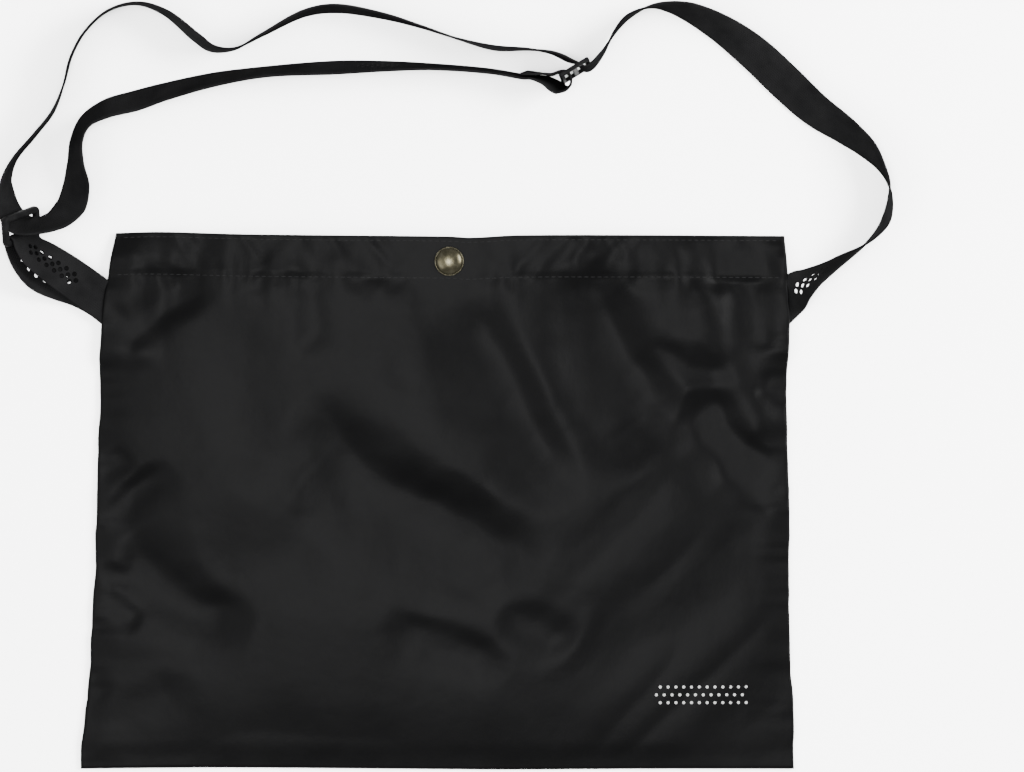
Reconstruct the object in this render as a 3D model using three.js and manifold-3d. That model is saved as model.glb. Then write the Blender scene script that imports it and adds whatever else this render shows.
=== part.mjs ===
// Cycling musette bag lying on its back: millimetres, +Z up, +Y towards the mouth, +X to the bag's right.
// The origin is the middle of the back panel's underside, which rests on the surface.
import * as THREE from 'three';
import { mergeVertices } from 'three/addons/utils/BufferGeometryUtils.js';
import Module from 'manifold-3d';

const wasm = await Module();
wasm.setup();

// Bag
const BAG_WIDTH = 365; // along the bottom seam
const MOUTH_WIDTH = 342;
const MOUTH_SHIFT = 6.6; // middle of the mouth, right of the bottom's middle
const BAG_HEIGHT = 274; // bottom seam to mouth
const CLOTH = 1.2;
const LOFT = 8; // rise of the front panel's middle above its seams
const HEM_DEPTH = 21.5;
const HEM_EXTRA = 0.8; // turned-in layer of a hem
const HEM_STEP = 3.5; // length over which a hem's second layer starts
const SEAM_ALLOWANCE = 14; // what the seams leave free of the hem's second layer
const SIDE_ROUNDING = 3; // how late the front panel falls towards its side seams
const BOTTOM_ROUNDING = 5; // how soon it rises from its bottom seam
const GAP = 0.3; // between pieces that touch
const FRONT_COLUMNS = 34;
const FRONT_ROWS = 22; // from the bottom seam to the hem
const FRONT_CROWDING = 0.4; // how much closer the columns lie near the side seams
const HEM_ROWS = [0, 0.3, 0.65, 1]; // shares of the hem's depth
const OUTLINE_STEPS = 14; // to each edge of a flat panel

// Webbing
const WEB_WIDTH = 20;
const WEB_THICKNESS = 1.2;
const TUCK = 8; // length of webbing inside a side seam
const TUCK_RISE = 2; // layers by which webbing in a seam lifts the front panel
const TUCK_BUMP = [1.9, 4]; // the lift starts to fade and ends, in lengths of the tuck
const TUCK_SPREAD = [1.1, 1.9]; // the same to both sides, in widths of the webbing
const STRAP_REACH = 117.2; // mouth to the strap's far edge
const STRAP_SEAM = 0.869; // share of the bag's height where the strap leaves the right seam
const TAB_SEAM = 0.873; // share of the bag's height where the tab leaves the left seam
const TAB_RUN = 56.6; // left seam to the ring's middle
const TAB_ANGLE = 137.7; // direction of the tab in plan, degrees
const WEB_STEP = 6; // longest straight step along the strap
const TAB_STEP = 4; // the same along the tab
const WEB_CLEAR = 0.15; // standing webbing above the surface

// Perforation of the webbing
const HOLE_DIAMETER = 2.5;
const HOLE_PITCH = 5;
const HOLE_LINE_GAP = 2.3;
const HOLE_SIDES = 6;
const SEAM_HOLES = 5; // pitches of holes near the right seam
const SEAM_HOLES_START = 27; // along the strap from its sewn end
const SLIDER_HOLES = 5;
const SLIDER_HOLES_START = 140; // along the strap before its end at the slider
const TAB_HOLES = 7;
const TAB_HOLES_START = 40; // along the tab from its sewn end
const TAB_BACK_START = 72; // along the tab before its other end

// Ring
const RING_LENGTH = 28;
const RING_DEPTH = 16;
const RING_BAR = 3.4;
const RING_CORNER = 3; // outside
const RING_INSIDE = 0.35; // corner inside
const RING_TURN = 203; // plan direction of the ring's long side, from its low end to its high end
const RING_TILT = 50; // slope of the long side
const RING_PITCH = -12; // slope of the short side

// Slider
const SLIDER_LENGTH = 17.5;
const SLIDER_RAIL = 2.2;
const SLIDER_BAR = 2.6;
const SLIDER_THICKNESS = 2.2;
const SLIDER_CORNER = 1.5;
const SLIDER_FIT = 0.6; // play of the webbing between the rails
const SLIDER_ACROSS = 0.1931; // share of the bag's width
const SLIDER_REACH = 0.7073; // share of the strap's reach
const SLIDER_ANGLE = 31.8; // plan direction of the slider, degrees
const SLIDER_TILT = 7; // lean of the slider, degrees
const MOULD_BEVEL = 0.25; // share of a moulded piece's thickness

// Press stud
const SNAP_ACROSS = 0.0168; // share of the bag's width
const SNAP_DROP = 14.4; // mouth to the stud's middle
const CAP_DIAMETER = 15;
const CAP_DOME = 3.2;
const CAP_RIM = 0.7;
const CAP_STEPS = 5; // of the dome's profile
const SOCKET_DIAMETER = 11;
const SOCKET_ROOF = 0.6;
const POST_DIAMETER = 5;
const NUB_DIAMETER = 4.6;
const NUB_HEIGHT = 2.2;
const NUB_NECK = 0.86; // share of the nub's diameter
const NUB_ROUNDING = 0.7;
const RIVET = 1;
const SEAT_MARGIN = 1.5; // flat round the cap
const PINCH_REACH = 4.5; // how far the seat draws the front panel in, in radii of the seat
const RISE_TOP = 7; // radius of the back panel's flat top over the rivet
const RISE_FOOT = 13; // radius where that rise meets the surface
const RISE_SLANT = 1; // half the slant of its edge
const SNAP_SEGMENTS = 20;

const rad = THREE.MathUtils.degToRad;
const vec = (x, y, z) => new THREE.Vector3(x, y, z);
const bell = (distance, width) => Math.exp(-((distance / width) ** 2));

// Smooth step of a value from 0 at one end of a range to 1 at the other
function smooth(from, to, value) {
  const t = THREE.MathUtils.clamp((value - from) / (to - from), 0, 1);
  return t * t * (3 - 2 * t);
}

// Side edges. Columns: share of height, left bulge, right bulge (shares of the bag's width)
const SIDE_ROWS = [
  [0, 0, 0],
  [0.03, 0.0016, 0],
  [0.12, -0.0019, 0],
  [0.21, -0.0038, -0.0022],
  [0.39, -0.0011, -0.0019],
  [0.57, 0.0044, 0.0005],
  [0.7, 0.0082, -0.0005],
  [0.8, 0.0107, 0.004],
  [0.92, 0.0088, 0.0037],
  [1, 0, 0],
];

// Mouth and bottom edges. Columns: place across (-1 left, 1 right), mouth rise, bottom rise (shares of the
// bag's height)
const EDGE_ROWS = [
  [-1, 0.0007, 0],
  [-0.87, 0.0026, 0.001],
  [-0.6, -0.002, 0.0022],
  [0, -0.0062, -0.0007],
  [0.06, -0.0084, -0.001],
  [0.2, -0.004, -0.0015],
  [0.6, -0.0036, 0],
  [1, -0.0047, 0],
];

// Folds of the front panel. Columns: start x, y, end x, y (shares of width and height from the middle),
// height in shares of the loft (below zero a valley), half width in shares of the bag's width
const FOLD_ROWS = [
  [-0.312, 0.404, -0.459, 0.273, -0.22, 0.03],
  [-0.242, 0.394, -0.25, -0.036, -0.16, 0.05],
  [-0.193, 0.412, -0.193, 0.3, -0.14, 0.022],
  [0.025, 0.404, 0.102, 0.189, -0.27, 0.026],
  [0.102, 0.189, 0.186, 0.002, -0.25, 0.026],
  [0.2, 0.44, 0.242, 0.282, -0.32, 0.024],
  [0.242, 0.282, 0.338, 0.129, -0.34, 0.024],
  [0.368, 0.207, 0.432, 0.058, -0.28, 0.024],
  [0.432, 0.058, 0.485, 0.067, -0.22, 0.022],
  [0.446, 0.413, 0.453, 0.263, -0.22, 0.026],
  [-0.158, 0.151, -0.094, 0.058, -0.3, 0.024],
  [-0.094, 0.058, -0.01, -0.007, -0.32, 0.024],
  [-0.01, -0.007, 0.074, -0.045, -0.3, 0.024],
  [0.074, -0.045, 0.144, -0.11, -0.24, 0.024],
  [-0.431, -0.092, -0.333, -0.204, -0.28, 0.024],
  [-0.333, -0.204, -0.284, -0.226, -0.24, 0.024],
  [-0.33, -0.06, -0.15, -0.14, -0.18, 0.04],
  [-0.052, -0.241, 0.095, -0.306, -0.2, 0.026],
  [0.088, -0.213, 0.172, -0.26, -0.16, 0.024],
  [-0.466, -0.036, -0.396, 0.058, -0.18, 0.02],
  [-0.466, -0.194, -0.424, -0.213, -0.16, 0.018],
  [-0.459, -0.447, -0.354, -0.353, -0.12, 0.024],
  [0.488, -0.03, 0.2, -0.42, -0.13, 0.034],
  [0.488, 0.04, 0.186, -0.372, 0.12, 0.036],
  [-0.052, 0.376, 0.144, -0.073, 0.22, 0.045],
  [0.165, 0.301, 0.228, 0.151, 0.18, 0.028],
  [0.375, 0.329, 0.35, 0.37, 0.18, 0.028],
  [0.46, 0.151, 0.44, 0.19, 0.18, 0.022],
  [-0.172, 0.039, -0.137, -0.035, 0.16, 0.03],
];
const FOLD_ONSET = 1.6; // how soon the folds reach their height inside the seams

// The strap beside the right seam. Columns: offset x, y from the seam point, lean, lift of the lower edge.
// Lengths are shares of the webbing's width. A lean of 0 is flat, -90 stands on its edge.
const SEAM_ROUTE = [
  [-0.75, -0.58, 0, 0.08],
  [-0.36, -0.2, 0, 0.08],
  [0.02, 0.18, -1, 0.08],
  [0.22, 0.37, -9, 0.08],
  [0.42, 0.54, -26, 0.08],
  [0.68, 0.7, -54, 0.05],
  [0.98, 0.89, -70, 0.01],
  [1.2, 1.03, -75, 0],
  [1.42, 1.17, -79.5, 0],
];
// The free strap from the right seam to the slider. Columns: share of the bag's width from its middle,
// share of the strap's reach from the mouth, lean, lift of the lower edge (share of the webbing's width)
const RIGHT_ROUTE = [
  [0.596, -0.056, -90, 0],
  [0.618, 0.009, -99, 0],
  [0.629, 0.065, -104, 0],
  [0.634, 0.152, -98, 0],
  [0.632, 0.217, -90.5, 0],
  [0.622, 0.286, -81.5, 0],
  [0.604, 0.362, -65, 0],
  [0.573, 0.443, -50, 0],
  [0.528, 0.542, -34, 0],
  [0.488, 0.657, -25, 0],
  [0.444, 0.785, -30, 0],
  [0.399, 0.889, -46, 0],
  [0.352, 0.965, -64, 0],
  [0.322, 0.988, -79, 0],
  [0.298, 0.987, -90, 0],
  [0.269, 0.947, -97, 0],
  [0.251, 0.886, -94, 0.04],
];
// Past the slider. Columns: along and across the slider (shares of its length), lean, lift
const WEAVE_ROUTE = [
  [0.98, 0.03, -87, 0.1],
  [0.64, -0.1, -84, 0.142],
  [0.46, -0.14, -83, 0.142],
  [0.34, -0.135, -83, 0.142],
  [0.255, -0.085, -85, 0.142],
  [0.21, 0.02, -88, 0.142],
  [0.17, 0.14, -90, 0.142],
  [0.08, 0.28, -89, 0.13],
  [-0.04, 0.44, -86, 0.1],
];
// From the slider to the ring, columns as in the right route
const FAR_ROUTE = [
  [0.157, 0.788, -90, 0.03],
  [0.127, 0.801, -94, 0],
  [0.081, 0.807, -98, 0],
  [0.03, 0.846, -93, 0],
  [-0.022, 0.899, -90, 0],
  [-0.075, 0.946, -85, 0],
  [-0.143, 0.979, -81, 0],
  [-0.186, 0.958, -84, 0],
  [-0.246, 0.863, -90, 0],
  [-0.285, 0.802, -95, 0],
  [-0.315, 0.805, -101, 0],
  [-0.337, 0.853, -103, 0],
  [-0.38, 0.961, -99, 0],
  [-0.419, 1.001, -96, 0],
  [-0.459, 0.972, -95, 0],
  [-0.492, 0.882, -95, 0],
  [-0.512, 0.771, -95, 0],
  [-0.523, 0.644, -94, 0],
  [-0.538, 0.529, -91, 0],
  [-0.564, 0.425, -90, 0],
  [-0.592, 0.319, -88, 0],
];
// Through the ring. Columns: offset x, y from the ring's middle (shares of its length), lean, lift
const RING_ROUTE = [
  [-0.275, 0.86, -80, 0],
  [-0.285, 0.675, -72, 0],
  [-0.27, 0.49, -64, 0.01],
  [-0.22, 0.32, -58, 0.05],
  [-0.13, 0.16, -55, 0.13],
  [0.0, 0.05, -57, 0.24],
  [0.15, 0.01, -61, 0.33],
  [0.32, 0.01, -65, 0.35],
  [0.5, 0.05, -63, 0.29],
  [0.7, 0.15, -56, 0.16],
  [0.85, 0.31, -45, 0.05],
  [0.925, 0.44, -39, 0.01],
];
// Back to the slider, columns as in the right route
const NEAR_ROUTE = [
  [-0.505, 0.213, -46, 0],
  [-0.506, 0.304, -63, 0],
  [-0.505, 0.399, -69, 0],
  [-0.493, 0.484, -68, 0],
  [-0.463, 0.542, -60, 0],
  [-0.422, 0.577, -57, 0],
  [-0.381, 0.616, -62, 0],
  [-0.312, 0.669, -68, 0],
  [-0.239, 0.703, -73, 0],
  [-0.144, 0.721, -69, 0],
  [-0.073, 0.727, -74, 0],
  [-0.009, 0.725, -80, 0],
  [0.075, 0.705, -82, 0],
];
// Round the slider's first bar and back on itself, columns as past the slider
const LOOP_ROUTE = [
  [-1.38, 0.65, -82, 0.05],
  [-1.13, 0.47, -83, 0.1],
  [-0.93, 0.26, -86, 0.142],
  [-0.79, -0.01, -88, 0.142],
  [-0.67, -0.2, -90, 0.142],
  [-0.53, -0.3, -90, 0.142],
  [-0.35, -0.285, -90, 0.142],
  [-0.235, -0.15, -90, 0.142],
  [-0.21, 0.0, -90, 0.142],
  [-0.27, 0.14, -90, 0.142],
  [-0.45, 0.22, -90, 0.142],
  [-0.64, 0.26, -90, 0.142],
  [-0.83, 0.4, -92, 0.13],
  [-1.06, 0.56, -95, 0.1],
  [-1.3, 0.74, -97, 0.05],
];

// Tab: front layer from the seam to the ring, then the back layer from the ring to the seam.
// Columns: share of the run from the seam to the ring's lower bar, offset to the tab's lower left, lean of
// the webbing, height of its middle (offset and height are shares of the webbing's width)
const TAB_FRONT = [
  [-0.42, 0, 0, 0.18],
  [-0.2, 0, 0, 0.18],
  [0, 0, 0, 0.18],
  [0.22, 0.04, 2, 0.185],
  [0.45, 0.13, 11, 0.26],
  [0.66, 0.2, 26, 0.42],
  [0.83, 0.15, 40, 0.57],
];
const TAB_BACK = [
  [0.83, 0.22, 38, 0.44],
  [0.66, 0.3, 26, 0.29],
  [0.48, 0.28, 12, 0.16],
  [0.3, 0.17, 2, 0.1],
  [0.15, 0.06, 0, 0.106],
  [0, 0, 0, 0.105],
  [-0.2, 0, 0, 0.105],
  [-0.42, 0, 0, 0.105],
];
// The turn round the ring's lower bar. Columns: along the ring's depth and out of its face, measured from
// the bar's middle, in shares of the bar's thickness
const TAB_TURN = [
  [0.4, 0.96],
  [-0.45, 0.77],
  [-0.9, 0],
  [-0.45, -0.77],
  [0.4, -0.96],
];

// Smooth curve through the rows of a table, for one of its columns
function along(rows, column, at) {
  const last = rows.length - 1;
  const next = Math.min(last, Math.max(1, rows.findIndex((row) => row[0] >= at)));
  const slope = (i) => {
    const a = rows[Math.max(0, i - 1)];
    const b = rows[Math.min(last, i + 1)];
    return (b[column] - a[column]) / (b[0] - a[0]);
  };
  const [low, high] = [rows[next - 1], rows[next]];
  const span = high[0] - low[0];
  const t = (at - low[0]) / span;
  const rise = (2 * t ** 3 - 3 * t ** 2 + 1) * low[column] + (3 * t ** 2 - 2 * t ** 3) * high[column];
  const bend = (t ** 3 - 2 * t ** 2 + t) * slope(next - 1) + (t ** 3 - t ** 2) * slope(next);
  return rise + bend * span;
}

function leftEdge(height) {
  const line = THREE.MathUtils.lerp(-BAG_WIDTH / 2, MOUTH_SHIFT - MOUTH_WIDTH / 2, height);
  return line - along(SIDE_ROWS, 1, height) * BAG_WIDTH;
}

function rightEdge(height) {
  const line = THREE.MathUtils.lerp(BAG_WIDTH / 2, MOUTH_SHIFT + MOUTH_WIDTH / 2, height);
  return line + along(SIDE_ROWS, 2, height) * BAG_WIDTH;
}

// Level direction turned up by an angle
function leaning(level, angle) {
  return level.clone().multiplyScalar(Math.cos(rad(angle))).add(vec(0, 0, Math.sin(rad(angle))));
}

// Plan place of a point of a panel: across -1 to 1, height 0 at the bottom seam to 1 at the mouth
function panelPoint(across, height) {
  const x = THREE.MathUtils.lerp(leftEdge(height), rightEdge(height), (across + 1) / 2);
  const rise = THREE.MathUtils.lerp(along(EDGE_ROWS, 2, across), along(EDGE_ROWS, 1, across), height);
  return new THREE.Vector2(x, BAG_HEIGHT * (height - 0.5 + rise));
}

const leftSeam = new THREE.Vector2(leftEdge(TAB_SEAM), BAG_HEIGHT * (TAB_SEAM - 0.5));
const rightSeam = new THREE.Vector2(rightEdge(STRAP_SEAM), BAG_HEIGHT * (STRAP_SEAM - 0.5));
const snapPlace = new THREE.Vector2(SNAP_ACROSS * BAG_WIDTH, BAG_HEIGHT / 2 - SNAP_DROP);

// Heights of the fastened press stud, from the surface up
const backLift = RIVET + GAP;
const studBase = backLift + CLOTH + HEM_EXTRA + GAP;
const socketFoot = studBase + RIVET + GAP;
const nubTop = studBase + RIVET + NUB_HEIGHT;
const socketTop = nubTop + GAP + SOCKET_ROOF;
const frontSeat = socketTop + GAP;
const frontSeatTop = frontSeat + CLOTH + HEM_EXTRA;
const seatRadius = CAP_DIAMETER / 2 + SEAT_MARGIN;

const hemLine = 1 - HEM_DEPTH / BAG_HEIGHT;

// A mesh as a solid, and a solid as a mesh
function solidOf(geometry) {
  const plain = geometry.clone();
  plain.deleteAttribute('normal');
  plain.deleteAttribute('uv');
  const merged = mergeVertices(plain, 1e-5);
  const vertProperties = new Float32Array(merged.attributes.position.array);
  const triVerts = new Uint32Array(merged.index.array);
  return new wasm.Manifold(new wasm.Mesh({ numProp: 3, vertProperties, triVerts }));
}

function geometryOf(solid) {
  const mesh = solid.getMesh();
  const geometry = new THREE.BufferGeometry();
  geometry.setAttribute('position', new THREE.BufferAttribute(new Float32Array(mesh.vertProperties), 3));
  geometry.setIndex(new THREE.BufferAttribute(new Uint32Array(mesh.triVerts), 1));
  return geometry;
}

function meshOf(name, geometry, color, roughness, metalness) {
  const mesh = new THREE.Mesh(geometry, new THREE.MeshStandardMaterial({ color, roughness, metalness }));
  mesh.geometry.computeVertexNormals();
  mesh.name = name;
  return mesh;
}

function upright(geometry) {
  return geometry.rotateX(Math.PI / 2);
}

// Closed tube of quads through rings of points, with flat ends
function sweep(rings) {
  const count = rings[0].length;
  const positions = rings.flat().flatMap((p) => [p.x, p.y, p.z]);
  const index = [];
  for (let i = 0; i < rings.length - 1; i += 1) {
    for (let j = 0; j < count; j += 1) {
      const a = i * count + j;
      const b = i * count + ((j + 1) % count);
      index.push(a, b, b + count, a, b + count, a + count);
    }
  }
  const last = (rings.length - 1) * count;
  for (let j = 1; j < count - 1; j += 1) {
    index.push(0, j + 1, j, last, last + j, last + j + 1);
  }
  const geometry = new THREE.BufferGeometry();
  geometry.setAttribute('position', new THREE.BufferAttribute(new Float32Array(positions), 3));
  geometry.setIndex(index);
  return geometry;
}

// Lift of the front panel where webbing lies between the panels
function tuckBump(x, y) {
  const near = (inward, aside) => {
    const inside = smooth(TUCK * TUCK_BUMP[1], TUCK * TUCK_BUMP[0], inward);
    return inside * smooth(WEB_WIDTH * TUCK_SPREAD[1], WEB_WIDTH * TUCK_SPREAD[0], Math.abs(aside));
  };
  const bumps = near(x - leftSeam.x, y - leftSeam.y) + near(rightSeam.x - x, y - rightSeam.y);
  return TUCK_RISE * (WEB_THICKNESS + GAP) * bumps;
}

// Rise of one fold at a point: full on the fold's line, fading to both sides. Where folds meet, the panel
// follows the deepest valley and the highest ridge
function foldHeight(x, y, row) {
  const [x0, y0, x1, y1, height, halfWidth] = row;
  const start = new THREE.Vector2(x0 * BAG_WIDTH, y0 * BAG_HEIGHT);
  const run = new THREE.Vector2(x1 * BAG_WIDTH, y1 * BAG_HEIGHT).sub(start);
  const point = new THREE.Vector2(x, y).sub(start);
  const share = THREE.MathUtils.clamp(point.dot(run) / run.lengthSq(), 0, 1);
  const distance = point.distanceTo(run.multiplyScalar(share));
  return height * LOFT * bell(distance, halfWidth * BAG_WIDTH);
}

// Underside of the front panel
function frontUnder(across, height, place) {
  const pillow = (1 - Math.abs(across) ** SIDE_ROUNDING) * (1 - (1 - height) ** BOTTOM_ROUNDING);
  const toSides = Math.min(place.x - leftEdge(height), rightEdge(height) - place.x);
  const folds = FOLD_ROWS.map((row) => foldHeight(place.x, place.y, row));
  const fold = Math.min(...folds) + Math.max(...folds);
  const hem = smooth(HEM_DEPTH + HEM_STEP, HEM_DEPTH, (1 - height) * BAG_HEIGHT);
  const hemmed = hem * smooth(SEAM_ALLOWANCE, SEAM_ALLOWANCE * 1.5, toSides);
  let under = CLOTH + GAP + LOFT * pillow + fold * Math.min(1, pillow * FOLD_ONSET);
  under += tuckBump(place.x, place.y) - HEM_EXTRA * hemmed;
  const fromSnap = place.distanceTo(snapPlace);
  const pinch = smooth(seatRadius * PINCH_REACH, seatRadius, fromSnap);
  under = THREE.MathUtils.lerp(under, frontSeat, pinch);
  return [under, under + CLOTH + HEM_EXTRA * Math.max(hemmed, pinch * hem)];
}

// Front panel: a wall of one cloth's thickness over a grid of rows and columns
function frontPanel() {
  const columns = [];
  for (let i = 0; i <= FRONT_COLUMNS; i += 1) {
    const t = (2 * i) / FRONT_COLUMNS - 1;
    columns.push(THREE.MathUtils.lerp(t, Math.sin((t * Math.PI) / 2), FRONT_CROWDING));
  }
  const rows = [];
  const belowHem = 1 - (HEM_DEPTH + HEM_STEP) / BAG_HEIGHT;
  for (let i = 0; i <= FRONT_ROWS; i += 1) rows.push((belowHem * i) / FRONT_ROWS);
  for (const share of HEM_ROWS) rows.push(THREE.MathUtils.lerp(hemLine, 1, share));
  const sheet = rows.map((height) => columns.map((across) => {
    const place = panelPoint(across, height);
    const [under, over] = frontUnder(across, height, place);
    return [vec(place.x, place.y, under), vec(place.x, place.y, over)];
  }));
  const wide = columns.length;
  const points = sheet.flat(2);
  const at = (row, column, side) => 2 * (row * wide + column) + side;
  const index = [];
  const quad = (a, b, c, d) => index.push(a, b, c, a, c, d);
  for (let r = 0; r < rows.length - 1; r += 1) {
    for (let c = 0; c < wide - 1; c += 1) {
      quad(at(r, c, 1), at(r, c + 1, 1), at(r + 1, c + 1, 1), at(r + 1, c, 1));
      quad(at(r, c, 0), at(r + 1, c, 0), at(r + 1, c + 1, 0), at(r, c + 1, 0));
    }
  }
  const top = rows.length - 1;
  for (let c = 0; c < wide - 1; c += 1) {
    quad(at(0, c, 0), at(0, c + 1, 0), at(0, c + 1, 1), at(0, c, 1));
    quad(at(top, c + 1, 0), at(top, c, 0), at(top, c, 1), at(top, c + 1, 1));
  }
  for (let r = 0; r < top; r += 1) {
    quad(at(r, 0, 0), at(r, 0, 1), at(r + 1, 0, 1), at(r + 1, 0, 0));
    quad(at(r, wide - 1, 1), at(r, wide - 1, 0), at(r + 1, wide - 1, 0), at(r + 1, wide - 1, 1));
  }
  const geometry = new THREE.BufferGeometry().setFromPoints(points);
  geometry.setIndex(index);
  // The seat of the press stud is a flat round of the panel with room for cap, socket and post
  const seat = disc(seatRadius, frontSeat, frontSeatTop);
  const roomAbove = disc(CAP_DIAMETER / 2 + GAP, frontSeatTop, frontSeatTop + CAP_DOME);
  const roomBelow = disc(SOCKET_DIAMETER / 2 + GAP, socketFoot, frontSeat);
  const hole = disc(POST_DIAMETER / 2 + GAP, socketFoot, frontSeatTop + CAP_DOME);
  return solidOf(geometry).add(seat).subtract(roomAbove).subtract(roomBelow).subtract(hole);
}

// Upright disc at the press stud, between two heights
function disc(radius, low, high) {
  const geometry = upright(new THREE.CylinderGeometry(radius, radius, high - low, SNAP_SEGMENTS));
  geometry.translate(snapPlace.x, snapPlace.y, (low + high) / 2);
  return solidOf(geometry);
}

// Solid of revolution at the press stud, from a profile of radius and height
function turned(profile) {
  const points = profile.map(([radius, z]) => new THREE.Vector2(radius, z));
  const geometry = upright(new THREE.LatheGeometry(points, SNAP_SEGMENTS));
  geometry.translate(snapPlace.x, snapPlace.y, 0);
  return solidOf(geometry);
}

// Flat outline of the panels between two heights, clear of the side seams by an inset
function outline(low, high, inset) {
  const corners = [[-1, low], [1, low], [1, high], [-1, high]];
  const points = corners.flatMap(([across, height], i) => {
    const [nextAcross, nextHeight] = corners[(i + 1) % corners.length];
    return Array.from({ length: OUTLINE_STEPS }, (_, j) => {
      const share = j / OUTLINE_STEPS;
      const here = THREE.MathUtils.lerp(across, nextAcross, share);
      const place = panelPoint(here, THREE.MathUtils.lerp(height, nextHeight, share));
      return place.setX(place.x - here * inset);
    });
  });
  return new THREE.Shape(points);
}

// Back panel: a flat sheet, its hem, and a shallow rise over the stud's rivet
function backPanel() {
  const flatTop = CLOTH + HEM_EXTRA;
  const plate = (shape, depth) => solidOf(new THREE.ExtrudeGeometry(shape, { depth, bevelEnabled: false }));
  const flat = plate(outline(0, 1, 0), CLOTH);
  const hem = plate(outline(hemLine, 1, SEAM_ALLOWANCE), flatTop);
  const lifted = backLift + flatTop;
  const hole = POST_DIAMETER / 2 + GAP;
  const [inner, outer] = [RISE_FOOT - RISE_SLANT, RISE_FOOT + RISE_SLANT];
  const rise = turned([
    [hole, backLift], [RISE_TOP, backLift], [inner, 0], [outer, 0], [outer, flatTop], [inner, flatTop],
    [RISE_TOP, lifted], [hole, lifted], [hole, backLift],
  ]);
  const room = disc(RISE_FOOT, -GAP, lifted + GAP);
  return flat.add(hem).subtract(room).add(rise);
}

// Cap, post and socket of the press stud
function snapCap() {
  const capFoot = frontSeatTop + GAP;
  const rim = CAP_DIAMETER / 2;
  const post = POST_DIAMETER / 2;
  const cavity = NUB_DIAMETER / 2 + GAP;
  const domeFoot = capFoot + CAP_RIM;
  const profile = [
    [0, nubTop + GAP], [cavity, nubTop + GAP], [cavity, socketFoot], [SOCKET_DIAMETER / 2, socketFoot],
    [SOCKET_DIAMETER / 2, socketTop], [post, socketTop], [post, capFoot], [rim - CAP_RIM, capFoot],
    [rim, domeFoot],
  ];
  for (let i = 1; i < CAP_STEPS; i += 1) {
    const turn = (i / CAP_STEPS) * (Math.PI / 2);
    profile.push([rim * Math.cos(turn), domeFoot + (CAP_DOME - CAP_RIM) * Math.sin(turn)]);
  }
  profile.push([0, capFoot + CAP_DOME]);
  return turned(profile);
}

// Rivet, base and nub of the hidden half
function snapStud() {
  const nub = NUB_DIAMETER / 2;
  const neck = nub * NUB_NECK;
  const base = SOCKET_DIAMETER / 2;
  const post = POST_DIAMETER / 2;
  const baseTop = studBase + RIVET;
  return turned([
    [0, 0], [base, 0], [base, RIVET], [post, RIVET], [post, studBase], [base, studBase], [base, baseTop],
    [neck, baseTop], [nub, nubTop - NUB_ROUNDING], [nub - NUB_ROUNDING, nubTop], [0, nubTop],
  ]);
}

// Frame of the ring: a runs along its depth, b along its length, n out of its upper face
const ringPlan = vec(Math.cos(rad(RING_TURN)), Math.sin(rad(RING_TURN)), Math.tan(rad(RING_TILT)));
const ringLong = ringPlan.normalize();
const ringSlope = vec(0, -1, Math.tan(rad(RING_PITCH)));
const ringDeep = ringSlope.addScaledVector(ringLong, -ringLong.dot(ringSlope)).normalize();
const ringUp = ringLong.clone().cross(ringDeep);
const ringMiddle = vec(
  leftSeam.x + TAB_RUN * Math.cos(rad(TAB_ANGLE)),
  leftSeam.y + TAB_RUN * Math.sin(rad(TAB_ANGLE)),
  (RING_BAR + (RING_LENGTH - RING_BAR) * ringLong.z - (RING_DEPTH - RING_BAR) * ringDeep.z) / 2,
);

function ringPoint(a, b, n) {
  const place = ringMiddle.clone().addScaledVector(ringDeep, a);
  return place.addScaledVector(ringLong, b).addScaledVector(ringUp, n);
}

function roundedRectangle(length, depth, corner) {
  const shape = new THREE.Shape();
  const [x, y, r] = [length / 2, depth / 2, corner];
  shape.absarc(x - r, y - r, r, 0, Math.PI / 2);
  shape.absarc(r - x, y - r, r, Math.PI / 2, Math.PI);
  shape.absarc(r - x, r - y, r, Math.PI, Math.PI * 1.5);
  shape.absarc(x - r, r - y, r, Math.PI * 1.5, Math.PI * 2);
  return shape;
}

function moulded(shape, thickness) {
  const bevel = thickness * MOULD_BEVEL;
  const geometry = new THREE.ExtrudeGeometry(shape, {
    depth: thickness - 2 * bevel, bevelThickness: bevel, bevelSize: bevel, bevelOffset: -bevel,
    bevelSegments: 1, curveSegments: 3,
  });
  return geometry.translate(0, 0, bevel - thickness / 2);
}

function ringSolid() {
  const shape = roundedRectangle(RING_LENGTH, RING_DEPTH, RING_CORNER);
  shape.holes.push(roundedRectangle(RING_LENGTH - 2 * RING_BAR, RING_DEPTH - 2 * RING_BAR, RING_INSIDE));
  const geometry = moulded(shape, RING_BAR);
  const frame = new THREE.Matrix4().makeBasis(ringLong, ringDeep, ringUp).setPosition(ringMiddle);
  return solidOf(geometry.applyMatrix4(frame));
}

// Frame of the slider: s along it, q across it to the upper left, v along its bars
const sliderAlong = vec(Math.cos(rad(SLIDER_ANGLE)), Math.sin(rad(SLIDER_ANGLE)), 0);
const sliderSide = vec(-sliderAlong.y, sliderAlong.x, 0);
const sliderBars = leaning(sliderSide, 90 - SLIDER_TILT);
const sliderHeight = WEB_WIDTH + 2 * SLIDER_FIT + 2 * SLIDER_RAIL;
const sliderMiddle = vec(
  SLIDER_ACROSS * BAG_WIDTH,
  BAG_HEIGHT / 2 + SLIDER_REACH * STRAP_REACH,
  (sliderHeight / 2) * Math.cos(rad(SLIDER_TILT)) + (SLIDER_THICKNESS / 2) * Math.sin(rad(SLIDER_TILT)),
);

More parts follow.
